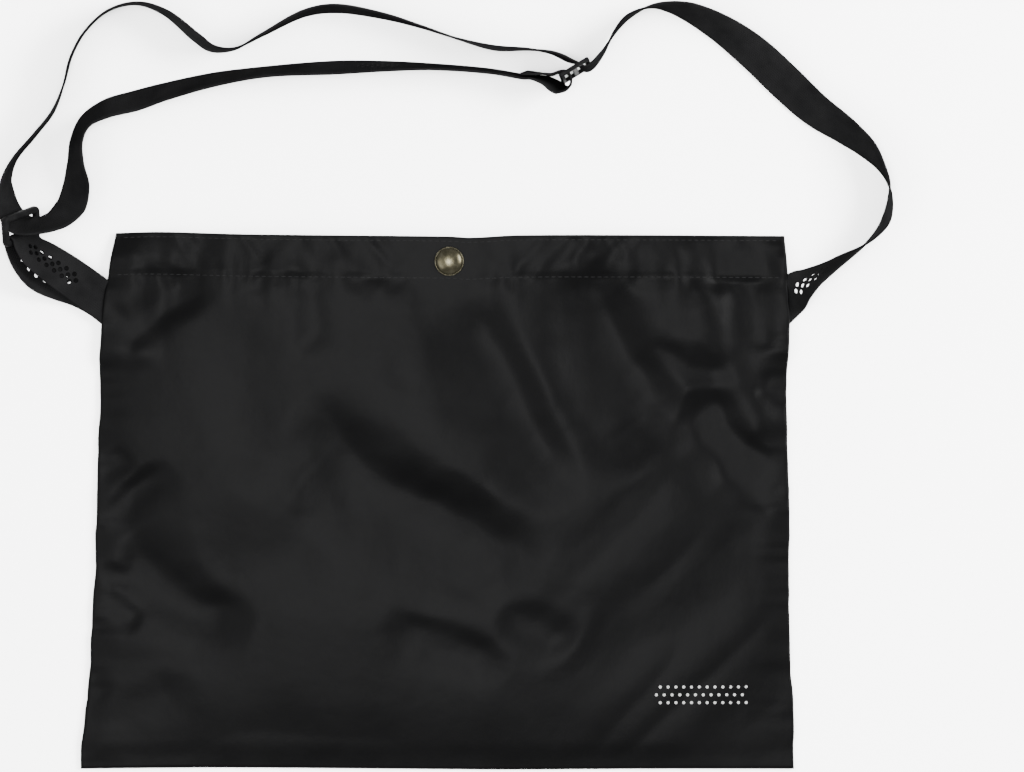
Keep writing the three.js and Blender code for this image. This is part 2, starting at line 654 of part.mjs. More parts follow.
function sliderSolid() {
  const face = sliderAlong.clone().cross(sliderBars);
  const frame = new THREE.Matrix4().makeBasis(sliderAlong, sliderBars, face).setPosition(sliderMiddle);
  const plate = moulded(roundedRectangle(SLIDER_LENGTH, sliderHeight, SLIDER_CORNER), SLIDER_THICKNESS);
  const slot = (SLIDER_LENGTH - 3 * SLIDER_BAR) / 2;
  return [-1, 1].reduce((solid, side) => {
    const opening = new THREE.BoxGeometry(slot, sliderHeight - 2 * SLIDER_RAIL, SLIDER_THICKNESS * 2);
    opening.translate((side * (SLIDER_BAR + slot)) / 2, 0, 0);
    return solid.subtract(solidOf(opening.applyMatrix4(frame)));
  }, solidOf(plate.applyMatrix4(frame)));
}

// Rows of webbing: a plan place, a lean and a lift become a middle point and a direction across
function standing(places) {
  return places.map(({ x, y, lean, lift }, i) => {
    const before = places[Math.max(0, i - 1)];
    const after = places[Math.min(places.length - 1, i + 1)];
    const heading = vec(after.x - before.x, after.y - before.y, 0).normalize();
    const side = vec(-heading.y, heading.x, 0);
    const across = leaning(side, lean);
    const height = WEB_WIDTH * Math.abs(Math.sin(rad(lean))) + WEB_THICKNESS * Math.abs(Math.cos(rad(lean)));
    return { at: vec(x, y, lift * WEB_WIDTH + height / 2 + WEB_CLEAR), across };
  });
}

function strapRows() {
  const free = ([across, reach, lean, lift]) => (
    { x: across * BAG_WIDTH, y: BAG_HEIGHT / 2 + reach * STRAP_REACH, lean, lift });
  const atSeam = ([dx, dy, lean, lift]) => (
    { x: rightSeam.x + dx * WEB_WIDTH, y: rightSeam.y + dy * WEB_WIDTH, lean, lift });
  const atRing = ([dx, dy, lean, lift]) => (
    { x: ringMiddle.x + dx * RING_LENGTH, y: ringMiddle.y + dy * RING_LENGTH, lean, lift });
  const atSlider = ([s, q, lean, lift]) => {
    const place = sliderMiddle.clone().addScaledVector(sliderAlong, s * SLIDER_LENGTH)
      .addScaledVector(sliderSide, q * SLIDER_LENGTH);
    return { x: place.x, y: place.y, lean, lift };
  };
  return standing([
    ...SEAM_ROUTE.map(atSeam), ...RIGHT_ROUTE.map(free), ...WEAVE_ROUTE.map(atSlider), ...FAR_ROUTE.map(free),
    ...RING_ROUTE.map(atRing), ...NEAR_ROUTE.map(free), ...LOOP_ROUTE.map(atSlider),
  ]);
}

function tabRows() {
  const bar = (RING_DEPTH - RING_BAR) / 2;
  const run = ringPoint(bar, 0, 0).sub(vec(leftSeam.x, leftSeam.y, 0)).setZ(0);
  const side = vec(-run.y, run.x, 0).normalize();
  const layer = ([share, offset, lean, height]) => {
    const at = vec(leftSeam.x, leftSeam.y, height * WEB_WIDTH).addScaledVector(run, share)
      .addScaledVector(side, offset * WEB_WIDTH);
    return { at, across: leaning(side, lean) };
  };
  const turn = ([a, n]) => ({ at: ringPoint(bar + a * RING_BAR, 0, n * RING_BAR), across: ringLong.clone() });
  return [...TAB_FRONT.map(layer), ...TAB_TURN.map(turn), ...TAB_BACK.map(layer)];
}

// Stations along rows of webbing, closer where the rows are close
function stationsOf(rows, step) {
  const path = new THREE.CatmullRomCurve3(rows.map((row) => row.at), false, 'centripetal');
  const sides = new THREE.CatmullRomCurve3(rows.map((row) => row.across), false, 'catmullrom');
  const stations = [];
  const spans = rows.length - 1;
  let travelled = 0;
  for (let i = 0; i <= spans; i += 1) {
    const gap = i < spans ? rows[i].at.distanceTo(rows[i + 1].at) : 0;
    const steps = i < spans ? Math.ceil(gap / step) : 1;
    for (let j = 0; j < steps; j += 1) {
      const t = (i + j / steps) / spans;
      const at = path.getPoint(t);
      const heading = path.getTangent(t);
      const across = sides.getPoint(t);
      across.addScaledVector(heading, -across.dot(heading)).normalize();
      const face = heading.clone().cross(across);
      if (stations.length) travelled += at.distanceTo(stations[stations.length - 1].at);
      stations.push({ at, heading, across, face, travelled });
    }
  }
  return stations;
}

function webbing(stations) {
  return solidOf(sweep(stations.map(({ at, across, face }) => (
    [[-1, -1], [1, -1], [1, 1], [-1, 1]].map(([a, f]) => at.clone()
      .addScaledVector(across, (a * WEB_WIDTH) / 2).addScaledVector(face, (f * WEB_THICKNESS) / 2))))));
}

function lengthOf(stations) {
  return stations[stations.length - 1].travelled;
}

// Three staggered lines of pins through the webbing, from a length along it, for a number of pitches
function holes(stations, from, pitches) {
  const pins = [];
  for (const line of [-1, 0, 1]) {
    const stagger = line === 0 ? 0 : HOLE_PITCH / 2;
    const count = line === 0 ? pitches : pitches - 1;
    for (let i = 0; i < count; i += 1) pins.push(pin(stations, from + stagger + HOLE_PITCH * i, line));
  }
  return pins;
}

function pin(stations, length, line) {
  const next = stations.findIndex((station) => station.travelled >= length);
  const [a, b] = [stations[next - 1], stations[next]];
  const share = (length - a.travelled) / (b.travelled - a.travelled);
  const across = a.across.clone().lerp(b.across, share).normalize();
  const face = a.face.clone().lerp(b.face, share).normalize();
  const at = a.at.clone().lerp(b.at, share).addScaledVector(across, line * HOLE_LINE_GAP);
  const radius = HOLE_DIAMETER / 2;
  const rod = new THREE.CylinderGeometry(radius, radius, WEB_THICKNESS * 2, HOLE_SIDES);
  const frame = new THREE.Matrix4().makeBasis(face.clone().cross(across), face, across).setPosition(at);
  return solidOf(rod.applyMatrix4(frame));
}

function pierced(solid, pins, end) {
  return pins.reduce((left, hole) => left.subtract(hole), solid).subtract(end);
}

// What lies deeper in a side seam than the tuck, as a box
function beyondTuck(side) {
  const edge = side < 0 ? leftSeam.x : rightSeam.x;
  const size = WEB_WIDTH * 4;
  const middle = edge - side * (TUCK + size / 2);
  const y = side < 0 ? leftSeam.y : rightSeam.y;
  return solidOf(new THREE.BoxGeometry(size, size * 2, size).translate(middle, y, 0));
}

const group = new THREE.Group();
const cloth = [0x1b1b1c, 0.7, 0];
const weave = [0x161616, 0.85, 0];
const plastic = [0x1d1d1e, 0.4, 0];
const brass = [0x66635b, 0.35, 1];

const strapStations = stationsOf(strapRows(), WEB_STEP);
const strapHoles = holes(strapStations, SEAM_HOLES_START, SEAM_HOLES);
const sliderHoles = holes(strapStations, lengthOf(strapStations) - SLIDER_HOLES_START, SLIDER_HOLES);
const strap = pierced(webbing(strapStations), [...strapHoles, ...sliderHoles], beyondTuck(1));

const tabStations = stationsOf(tabRows(), TAB_STEP);
const frontHoles = holes(tabStations, TAB_HOLES_START, TAB_HOLES);
const backHoles = holes(tabStations, lengthOf(tabStations) - TAB_BACK_START, TAB_HOLES);
const tab = pierced(webbing(tabStations), [...frontHoles, ...backHoles], beyondTuck(-1));

group.add(
  meshOf('back_panel', geometryOf(backPanel()), ...cloth),
  meshOf('front_panel', geometryOf(frontPanel()), ...cloth),
  meshOf('strap', geometryOf(strap), ...weave),
  meshOf('left_tab', geometryOf(tab), ...weave),
  meshOf('ring', geometryOf(ringSolid()), ...plastic),
  meshOf('slider', geometryOf(sliderSolid()), ...plastic),
  meshOf('snap_cap', geometryOf(snapCap()), ...brass),
  meshOf('snap_stud', geometryOf(snapStud()), ...brass),
);

export default group;
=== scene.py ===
import math

import bmesh
import bpy
import numpy as np
from mathutils import Matrix, Vector


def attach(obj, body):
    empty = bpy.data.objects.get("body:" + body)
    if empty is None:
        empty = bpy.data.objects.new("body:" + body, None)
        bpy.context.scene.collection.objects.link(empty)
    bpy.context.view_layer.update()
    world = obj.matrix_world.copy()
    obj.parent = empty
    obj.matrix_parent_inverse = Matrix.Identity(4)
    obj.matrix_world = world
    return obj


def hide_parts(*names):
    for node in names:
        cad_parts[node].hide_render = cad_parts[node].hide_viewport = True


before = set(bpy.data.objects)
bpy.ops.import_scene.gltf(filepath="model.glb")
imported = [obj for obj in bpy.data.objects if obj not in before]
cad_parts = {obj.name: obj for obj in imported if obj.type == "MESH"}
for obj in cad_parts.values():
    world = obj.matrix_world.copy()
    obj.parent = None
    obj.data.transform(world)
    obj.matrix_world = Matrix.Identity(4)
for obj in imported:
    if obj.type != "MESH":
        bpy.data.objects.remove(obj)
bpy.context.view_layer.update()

# Metres, +Z up, +Y towards the mouth, +X to the bag's right. The sizes are the CAD part's.
MM = 0.001

# Bag
BAG_WIDTH = 365 * MM
MOUTH_WIDTH = 342 * MM
MOUTH_SHIFT = 6.6 * MM
BAG_HEIGHT = 274 * MM
CLOTH = 1.2 * MM  # thickness that the CAD walls have
LOFT = 8 * MM
HEM_DEPTH = 21.5 * MM
HEM_EXTRA = 0.8 * MM
GAP = 0.3 * MM
SIDE_ROUNDING = 3
BOTTOM_ROUNDING = 5
FOLD_ONSET = 3.2

# Cloth as it shows
CLOTH_WALL = 0.7 * MM  # panel with its coating
HEM_WALL = 1.5 * MM  # where the hem doubles it
CLOTH_LOWEST = 2.0 * MM  # least height of the front's outer face where it lies on the back
HEM_LOWEST = 3.2 * MM
SEAM_ROUND = 1.2 * MM  # radius of the turned side and bottom seams
SEAM_HEIGHT = 1.33 * MM  # where the two panels meet in the seams
SEAM_RISE = 4 * MM  # width over which the back panel rises to its seams
EDGE_STEPS = [0, 0.15, 0.4, 0.8, 1.3, 2.0, 3.0, 4.4]  # grid lines beside an edge, mm
GRID_STEP = 1.9 * MM
BACK_STEP = 4.5 * MM

# Webbing
WEB_WIDTH = 20 * MM
WEB_THICKNESS = 1.2 * MM
WEB_CLEAR = 0.15 * MM
TUCK = 8 * MM
TUCK_RISE = 2
TUCK_BUMP = (1.9, 4)
TUCK_SPREAD = (1.1, 1.9)
STRAP_REACH = 117.2 * MM
STRAP_SEAM = 0.869
TAB_SEAM = 0.873
TAB_RUN = 56.6 * MM
TAB_ANGLE = 137.7
WEB_STEP = 1.0 * MM
HOLE_DIAMETER = 2.5 * MM
HOLE_PITCH = 5 * MM
HOLE_LINE_GAP = 2.3 * MM
HOLE_SIDES = 20

# Ring and slider
RING_LENGTH = 28 * MM
RING_DEPTH = 16 * MM
RING_BAR = 3.4 * MM
RING_CORNER = 3 * MM
RING_TURN = 203
RING_TILT = 50
RING_PITCH = -12
SLIDER_LENGTH = 17.5 * MM
SLIDER_RAIL = 2.2 * MM
SLIDER_BAR = 2.6 * MM
SLIDER_THICKNESS = 2.2 * MM
SLIDER_CORNER = 1.5 * MM
SLIDER_FIT = 0.6 * MM
SLIDER_ACROSS = 0.1931
SLIDER_REACH = 0.7073
SLIDER_ANGLE = 31.8
SLIDER_TILT = 7

# Press stud
SNAP_ACROSS = 0.0168
SNAP_DROP = 14.4 * MM
CAP_DIAMETER = 15 * MM
CAP_DOME = 3.2 * MM
SOCKET_DIAMETER = 11 * MM
SOCKET_ROOF = 0.6 * MM
POST_DIAMETER = 5 * MM
NUB_DIAMETER = 4.6 * MM
NUB_HEIGHT = 2.2 * MM
RIVET = 1 * MM
SEAT_MARGIN = 1.5 * MM
PINCH_REACH = 4.5
RISE_TOP = 7 * MM
RISE_FOOT = 13 * MM

# Side edges. Columns: share of height, left bulge, right bulge (shares of the bag's width)
SIDE_ROWS = [
    (0, 0, 0), (0.03, 0.0016, 0), (0.12, -0.0019, 0),
    (0.21, -0.0038, -0.0022), (0.39, -0.0011, -0.0019), (0.57, 0.0044, 0.0005),
    (0.7, 0.0082, -0.0005), (0.8, 0.0107, 0.004), (0.92, 0.0088, 0.0037),
    (1, 0, 0),
]
# Mouth and bottom edges. Columns: place across, mouth rise, bottom rise (shares of the bag's height)
EDGE_ROWS = [
    (-1, 0.0007, 0), (-0.87, 0.0026, 0.001), (-0.6, -0.002, 0.0022),
    (0, -0.0062, -0.0007), (0.06, -0.0084, -0.001), (0.2, -0.004, -0.0015),
    (0.6, -0.0036, 0), (1, -0.0047, 0),
]
# Folds of the front panel, in millimetres from the middle of the bag. Columns: height (below zero a
# valley), half widths left and right of the line's direction, points of the line
FOLDS = [
    # Below the hem on the left
    (-3, 6, 14, [(-114.4, 112.1), (-131.8, 102.4), (-147.1, 92.7), (-169.7, 73.2)]),
    (-1.2, 14, 18, [(-101, 110.6), (-96.9, 62), (-89.8, 26.1), (-83.1, -4.6)]),
    (-0.9, 5, 6, [(-68.3, 118.3), (-65.7, 97.8), (-64.2, 74.8)]),
    # Below the press stud
    (-3.8, 14, 26, [(5.5, 115.2), (22.9, 79.9), (36.2, 54.3), (51.5, 28.7), (71, 0.5)]),
    # Right of the press stud, the deepest
    (-7.4, 14, 28, [(71, 122.4), (83.3, 91.6), (97.1, 66), (109.9, 48.1), (128.3, 31.2)]),
    (-2.8, 6, 12, [(101.7, 81.4), (124.2, 69.1), (152.9, 68.1)]),
    # Towards the right side
    (-6.6, 11, 20, [(129.4, 64), (140.6, 36.4), (153.9, 21), (179.5, 15.9)]),
    # Right end of the hem
    (-3, 8, 10, [(142.2, 137.7), (145.7, 122.4), (143.7, 105.5)]),
    # Upper right corner
    (-5.4, 10, 14, [(160.1, 137.7), (162.1, 108), (164.2, 66)]),
    (-2.2, 3.5, 6, [(159.1, -7.7), (169.3, 2.6), (181.6, 5.6)]),
    # The long one across the middle
    (-5.6, 12, 36, [(-68.3, 50.7), (-48.8, 29.2), (-28.3, 10.2), (-6.8, -2.6), (16.7, -10.2),
        (35.1, -21), (58.7, -34.3)]),
    # Lower left
    (-4.4, 12, 18, [(-166.6, -21), (-140, -40.4), (-120.5, -53.8), (-92.9, -64)]),
    (-1.6, 20, 24, [(-126.6, -30.2), (-95.9, -30.2), (-49.8, -17.4)]),
    # Low in the middle
    (-2.2, 8, 12, [(-29.4, -62), (6.5, -71.2), (40.3, -86.5)]),
    (-2, 8, 11, [(28, -54.8), (50, -63.5), (70, -75.3)]),
    # Lower left corner
    (-1.5, 8, 10, [(-170.7, -128.5), (-152.2, -109.6), (-119.5, -92.7)]),
    # Left side pinches
    (-3, 5, 9, [(-175.8, 91.6), (-166.6, 93.7), (-156.3, 101.9)]),
    (-2.6, 4, 7, [(-175.8, 17.9), (-166.6, 20), (-157.4, 25.1)]),
    # Left side wedge
    (-2.6, 5, 10, [(-176.8, -15.9), (-157.4, 0.5), (-133.8, 16.9)]),
    # Left side pinches
    (-3, 4, 6, [(-176.8, -39.4), (-166.6, -39.4), (-155.3, -41.5)]),
    (-2.6, 4, 7, [(-176.8, -48.6), (-162.5, -54.8), (-147.1, -62)]),
    (-2.2, 3, 5, [(-179.9, -91.6), (-171.7, -97.8), (-164.5, -102.9)]),
    # Right side pinch
    (-2.2, 4, 5, [(182.6, 57.9), (173.4, 58.9), (163.1, 63)]),
    # Diagonals at the right
    (-1.5, 15, 11, [(182.6, 6.7), (134.5, -40.4), (67.9, -103.9)]),
    (-1.2, 12, 10, [(157.5, -2), (108.9, -45.6), (57.7, -98.8)]),
    (-0.9, 11, 9, [(134.5, 23.6), (98.6, -4.6), (58.7, -37.4)]),
    (-1, 13, 10, [(177.5, -15.9), (152.4, -40.4), (124.2, -68.1)]),
    # Bright field below the press stud
    (2.6, 22, 26, [(-21.7, 110.1), (-11.4, 67.1), (14.2, 26.1), (57.7, -24.1)]),
    # Bright field right of it
    (1.6, 14, 16, [(32.1, 107), (55.1, 72.2), (83.3, 23.6)]),
    (1.4, 10, 10, [(133.5, 110.1), (140.6, 92.7), (137.5, 76.3)]),
    (1.5, 8, 8, [(172.9, 53.8), (167.8, 38.9), (160.1, 29.2)]),
    (0.8, 10, 12, [(-59.1, 26.1), (-64.2, 8.2), (-68.8, -6.7)]),
    # Low in the middle
    (0.5, 9, 10, [(-3.8, -46.6), (19.3, -58.4), (44.4, -83.5)]),
]
FOLD_BLEND = 3  # how sharply folds give way to each other where they meet
FOLD_CORE = 2.6 * MM  # radius of the bottom of a crease
FOLD_SHARPNESS = 1.7  # 1 for a sharp crease, 2 for a soft one
FOLD_TAPER = 0.3  # share of a fold's length over which it rises or sinks at each end
WARP = (3.5 * MM, 34 * MM)  # how far the folds wander, and over what length
FINE_WARP = (1.2 * MM, 11 * MM)

# Noise of the small relief: cell along x, cell along y, seed
GATHER = (6.5 * MM, 60 * MM, 11)
FINE_GATHER = (3.4 * MM, 40 * MM, 12)
WIDE_GATHER = (15 * MM, 70 * MM, 18)
SIDE_CREASES = (34 * MM, 8 * MM, 13)
BOTTOM_WAVES = (12 * MM, 40 * MM, 14)
LEFT_CREASES = (46 * MM, 34 * MM, 15)
RIGHT_CREASES = (60 * MM, 17 * MM, 19)
SOFT_WAVES = (26 * MM, 30 * MM, 16)
CRUMPLES = (13 * MM, 15 * MM, 17)
PULLED_LEFT = (9 * MM, 22 * MM, 51)
PULLED_RIGHT = (12 * MM, 26 * MM, 52)
BACK_RIPPLES = (16 * MM, 20 * MM, 21)

# Relief of the hem and the bottom
HEM_STEP = 0.35 * MM
HEM_GROOVE = 0.25 * MM
MOUTH_GROOVE = 0.12 * MM
GROOVE_WIDTH = 0.6 * MM
BOTTOM_STEP = 0.4 * MM
BOTTOM_STEP_FROM = 14 * MM
BOTTOM_STEP_TO = 5 * MM
FLOOR_TURN = 0.6 * MM
SEAM_EDGE = 0.17 * MM  # thickness that the front panel ends with in its seams

# Stitches
STITCH_PITCH = 3.3 * MM
STITCH_LENGTH = 2.5 * MM
STITCH_MARGIN = 8 * MM
MOUTH_STITCHES = 2.5 * MM  # from the mouth's edge
THREAD = 0.42 * MM
BACK_STITCH_HEIGHT = 0.2 * MM
SEWN_ROWS = (3 * MM, 7 * MM)  # from the strap's end

# The strap beside the right seam. Columns: offset x, y from the seam point, lean, lift of the lower edge.
# Lengths are shares of the webbing's width. A lean of 0 is flat, -90 stands on its edge.
SEAM_ROUTE = [
    (-0.75, -0.58, 0, 0.08), (-0.36, -0.2, 0, 0.08), (0.0, 0.15, -1, 0.08),
    (0.18, 0.32, -22, 0.08), (0.38, 0.49, -43, 0.07), (0.64, 0.68, -59, 0.04),
    (0.98, 0.89, -70, 0.01), (1.2, 1.03, -75, 0), (1.42, 1.17, -79.5, 0),
]
# The free strap from the right seam to the slider. Columns: share of the bag's width from its middle,
# share of the strap's reach from the mouth, lean, lift of the lower edge
RIGHT_ROUTE = [
    (0.596, -0.056, -90, 0), (0.618, 0.009, -99, 0), (0.629, 0.065, -104, 0),
    (0.634, 0.152, -98, 0), (0.632, 0.217, -90.5, 0), (0.622, 0.286, -81.5, 0),
    (0.604, 0.362, -65, 0), (0.573, 0.443, -50, 0), (0.528, 0.542, -34, 0),
    (0.488, 0.657, -25, 0), (0.444, 0.785, -30, 0), (0.399, 0.889, -46, 0),
    (0.352, 0.965, -64, 0), (0.322, 0.988, -79, 0), (0.298, 0.987, -90, 0),
    (0.269, 0.947, -97, 0), (0.251, 0.886, -94, 0.04),
]
# Past the slider. Columns: along and across the slider (shares of its length), lean, lift
WEAVE_ROUTE = [
    (0.98, 0.03, -87, 0.1), (0.64, -0.1, -84, 0.142), (0.46, -0.14, -83, 0.142),
    (0.34, -0.135, -83, 0.142), (0.255, -0.085, -85, 0.142), (0.21, 0.02, -88, 0.142),
    (0.17, 0.14, -90, 0.142), (0.08, 0.28, -89, 0.13), (-0.04, 0.44, -86, 0.1),
]
# From the slider to the ring, columns as in the right route
FAR_ROUTE = [
    (0.157, 0.788, -90, 0.03), (0.127, 0.801, -94, 0), (0.081, 0.807, -98, 0),
    (0.03, 0.846, -93, 0), (-0.022, 0.899, -90, 0), (-0.075, 0.946, -85, 0),
    (-0.143, 0.979, -81, 0), (-0.186, 0.958, -84, 0), (-0.246, 0.863, -90, 0),
    (-0.285, 0.802, -95, 0), (-0.315, 0.805, -101, 0), (-0.337, 0.853, -103, 0),
    (-0.38, 0.961, -99, 0), (-0.419, 1.001, -96, 0), (-0.459, 0.972, -95, 0),
    (-0.492, 0.882, -95, 0), (-0.512, 0.771, -95, 0), (-0.523, 0.644, -94, 0),
    (-0.538, 0.529, -91, 0), (-0.564, 0.425, -90, 0), (-0.592, 0.319, -88, 0),
]
# Through the ring. Columns: offset x, y from the ring's middle (shares of its length), lean, lift
RING_ROUTE = [
    (-0.275, 0.86, -80, 0), (-0.285, 0.675, -72, 0), (-0.27, 0.49, -64, 0.01),
    (-0.22, 0.32, -58, 0.05), (-0.13, 0.16, -55, 0.13), (0.0, 0.05, -57, 0.24),
    (0.15, 0.01, -61, 0.33), (0.32, 0.01, -65, 0.35), (0.5, 0.05, -63, 0.29),
    (0.7, 0.15, -56, 0.16), (0.85, 0.31, -45, 0.05), (0.925, 0.44, -39, 0.01),
]
# Back to the slider, columns as in the right route
NEAR_ROUTE = [
    (-0.505, 0.213, -46, 0), (-0.506, 0.304, -63, 0), (-0.505, 0.399, -69, 0),
    (-0.493, 0.484, -68, 0), (-0.463, 0.542, -60, 0), (-0.422, 0.577, -57, 0),
    (-0.381, 0.616, -62, 0), (-0.312, 0.669, -68, 0), (-0.239, 0.703, -73, 0),
    (-0.144, 0.721, -69, 0), (-0.073, 0.727, -74, 0), (-0.009, 0.725, -80, 0),
    (0.075, 0.705, -82, 0),
]
# Round the slider's first bar and back on itself, columns as past the slider
LOOP_ROUTE = [
    (-1.38, 0.65, -82, 0.05), (-1.13, 0.47, -82, 0.1), (-0.93, 0.26, -76, 0.142),
    (-0.79, 0.0, -70, 0.142), (-0.67, -0.18, -70, 0.142), (-0.53, -0.28, -80, 0.142),
    (-0.35, -0.285, -90, 0.142), (-0.235, -0.15, -90, 0.142), (-0.21, 0.0, -90, 0.142),
    (-0.27, 0.14, -90, 0.142), (-0.45, 0.22, -90, 0.142), (-0.64, 0.26, -90, 0.142),
    (-0.83, 0.4, -92, 0.13), (-1.06, 0.56, -95, 0.1), (-1.3, 0.74, -97, 0.05),
]
# Tab: front layer from the seam to the ring, then the back layer. Columns: share of the run from the seam
# to the ring's lower bar, offset to the tab's lower left, lean, height of its middle
TAB_FRONT = [
    (-0.42, 0, 0, 0.18), (-0.2, 0, 0, 0.18), (0, 0, 0, 0.18),
    (0.22, 0.01, 2, 0.2), (0.45, 0.03, 12, 0.29), (0.66, 0.06, 26, 0.44),
    (0.83, 0.08, 40, 0.58),
]
TAB_BACK = [
    (0.83, 0.38, 36, 0.42), (0.66, 0.43, 24, 0.27), (0.48, 0.3, 11, 0.155),
    (0.3, 0.13, 2, 0.105), (0.15, 0.04, 0, 0.106), (0, 0, 0, 0.105),
    (-0.2, 0, 0, 0.105), (-0.42, 0, 0, 0.105),
]
# The turn round the ring's lower bar. Columns: along the ring's depth and out of its face, in bars
TAB_TURN = [(0.4, 0.96), (-0.45, 0.77), (-0.9, 0), (-0.45, -0.77), (0.4, -0.96)]

# Holes of the webbing. Columns: from the start of the webbing (below zero from its end), number of pitches
STRAP_HOLES = [(27 * MM, 5), (-140 * MM, 5)]
TAB_HOLES = [(40 * MM, 7), (-72 * MM, 7)]

# Small pale dots in three staggered rows, low on the right of the front panel
PRINT_LEFT = 112 * MM
PRINT_BOTTOM = -105 * MM
PRINT_PITCH = 4.0 * MM
PRINT_COLUMNS = 12
PRINT_ROWS = 3
PRINT_DOT = 0.75 * MM

# Tones of the materials: place on the ramp, colour
CLOTH_TONES = [(0.3, (0.0007, 0.0007, 0.00075)), (0.7, (0.0011, 0.0011, 0.00115))]
WEB_TONES = [(0.3, (0.0025, 0.0025, 0.0026)), (0.7, (0.0044, 0.0044, 0.0045))]
THREAD_TONES = [(0.3, (0.0022, 0.0022, 0.0023)), (0.7, (0.006, 0.006, 0.0062))]
PLASTIC_TONES = [(0.35, (0.0016, 0.0016, 0.0017)), (0.75, (0.004, 0.004, 0.0041))]
METAL_TONES = [(0.3, (0.013, 0.012, 0.0075)), (0.55, (0.022, 0.02, 0.013)), (0.8, (0.036, 0.034, 0.025))]
FLOOR_TONES = [(0.3, (0.86, 0.86, 0.86)), (0.7, (0.88, 0.88, 0.88))]
DOT_COLOR = (0.16, 0.16, 0.157, 1)

# Lights: name, place, side of the square (metres), power (watts)
LIGHTS = [
    ("key", (1.4, 0.5, 1.05), 0.8, 150),
    ("fill", (-1.2, -0.2, 1.5), 1.2, 50),
    ("top", (-0.1, 0.12, 2.5), 0.6, 150),
]
LIGHT_TARGET = (0.02, 0.05, 0)
WORLD_STRENGTH = 2.7

# View of the photograph
FRAME_WIDTH = 524.3 * MM  # across the picture, at the surface
VIEW_MIDDLE = (38.2 * MM, 58.9 * MM)
CAMERA_HEIGHT = 4.0
SENSOR = 36.0


def rad(angle):
    return math.radians(angle)


def smooth(start, end, value):
    t = np.clip((value - start) / (end - start), 0, 1)
    return t * t * (3 - 2 * t)


def bell(distance, width):
    return np.exp(-((distance / width) ** 2))


def mix(a, b, share):
    return a + (b - a) * share


def link(thing):
    bpy.context.scene.collection.objects.link(thing)
    return thing


# Smooth random field, from -1 to 1, with cells of a size along x and y
def noise(x, y, cell_x, cell_y, seed):
    lattice = np.random.default_rng(seed).uniform(-1, 1, (256, 256))
    u, v = x / cell_x + 128, y / cell_y + 128
    i, j = np.floor(u).astype(int), np.floor(v).astype(int)
    s, t = smooth(0, 1, u - i), smooth(0, 1, v - j)
    low = mix(lattice[i % 256, j % 256], lattice[(i + 1) % 256, j % 256], s)
    high = mix(lattice[i % 256, (j + 1) % 256], lattice[(i + 1) % 256, (j + 1) % 256], s)
    return mix(low, high, t)


# Smooth curve through the rows of a table, for one of its columns
def along(rows, column, at):
    last = len(rows) - 1
    after = next((i for i, row in enumerate(rows) if row[0] >= at), last)
    after = min(last, max(1, after))

    def slope(i):
        a, b = rows[max(0, i - 1)], rows[min(last, i + 1)]
        return (b[column] - a[column]) / (b[0] - a[0])

    low, high = rows[after - 1], rows[after]
    span = high[0] - low[0]
    t = (at - low[0]) / span
    rise = (2 * t**3 - 3 * t**2 + 1) * low[column] + (3 * t**2 - 2 * t**3) * high[column]
    bend = (t**3 - 2 * t**2 + t) * slope(after - 1) + (t**3 - t**2) * slope(after)
    return rise + bend * span


def left_edge(height):
    line = mix(-BAG_WIDTH / 2, MOUTH_SHIFT - MOUTH_WIDTH / 2, height)
    return line - along(SIDE_ROWS, 1, height) * BAG_WIDTH


def right_edge(height):
    line = mix(BAG_WIDTH / 2, MOUTH_SHIFT + MOUTH_WIDTH / 2, height)
    return line + along(SIDE_ROWS, 2, height) * BAG_WIDTH


left_seam = Vector((left_edge(TAB_SEAM), BAG_HEIGHT * (TAB_SEAM - 0.5), 0))
right_seam = Vector((right_edge(STRAP_SEAM), BAG_HEIGHT * (STRAP_SEAM - 0.5), 0))
snap_place = Vector((SNAP_ACROSS * BAG_WIDTH, BAG_HEIGHT / 2 - SNAP_DROP, 0))

# Heights of the fastened press stud, from the surface up
back_lift = RIVET + GAP
stud_base = back_lift + CLOTH + HEM_EXTRA + GAP
socket_foot = stud_base + RIVET + GAP
nub_top = stud_base + RIVET + NUB_HEIGHT
socket_top = nub_top + GAP + SOCKET_ROOF
front_seat = socket_top + GAP
front_seat_top = front_seat + CLOTH + HEM_EXTRA
seat_radius = CAP_DIAMETER / 2 + SEAT_MARGIN


def from_snap(x, y):
    return np.hypot(x - snap_place.x, y - snap_place.y)


# Small in and out of a side seam where thread and folds pull it
def seam_waves(height, seed):
    fine = noise(height, height * 0, 6 * MM, 1, seed)
    wide = noise(height, height * 0, 17 * MM, 1, seed + 10)
    ends = smooth(0, 12 * MM, height) * smooth(BAG_HEIGHT, BAG_HEIGHT - 25 * MM, height)
    return (0.25 * fine + 0.55 * wide) * MM * ends


# Places of a panel's points, with their distances to the sides, the bottom and the mouth
class Places:
    def __init__(self, across, height):
        self.across, self.height = np.broadcast_arrays(across, height)

        def edge(line, at):
            values, back = np.unique(at.ravel(), return_inverse=True)
            return np.array([line(v) for v in values])[back].reshape(at.shape)

        left = edge(left_edge, self.height)
        right = edge(right_edge, self.height)
        mouth = edge(lambda a: along(EDGE_ROWS, 1, a), self.across)
        bottom = edge(lambda a: along(EDGE_ROWS, 2, a), self.across)
        left = left + seam_waves(self.height * BAG_HEIGHT, 41)
        right = right - seam_waves(self.height * BAG_HEIGHT, 42)
        self.x = mix(left, right, (self.across + 1) / 2)
        self.y = BAG_HEIGHT * (self.height - 0.5 + mix(bottom, mouth, self.height))
        self.to_side = np.minimum(self.x - left, right - self.x)
        self.to_bottom = BAG_HEIGHT * self.height
        self.to_mouth = BAG_HEIGHT * (1 - self.height)


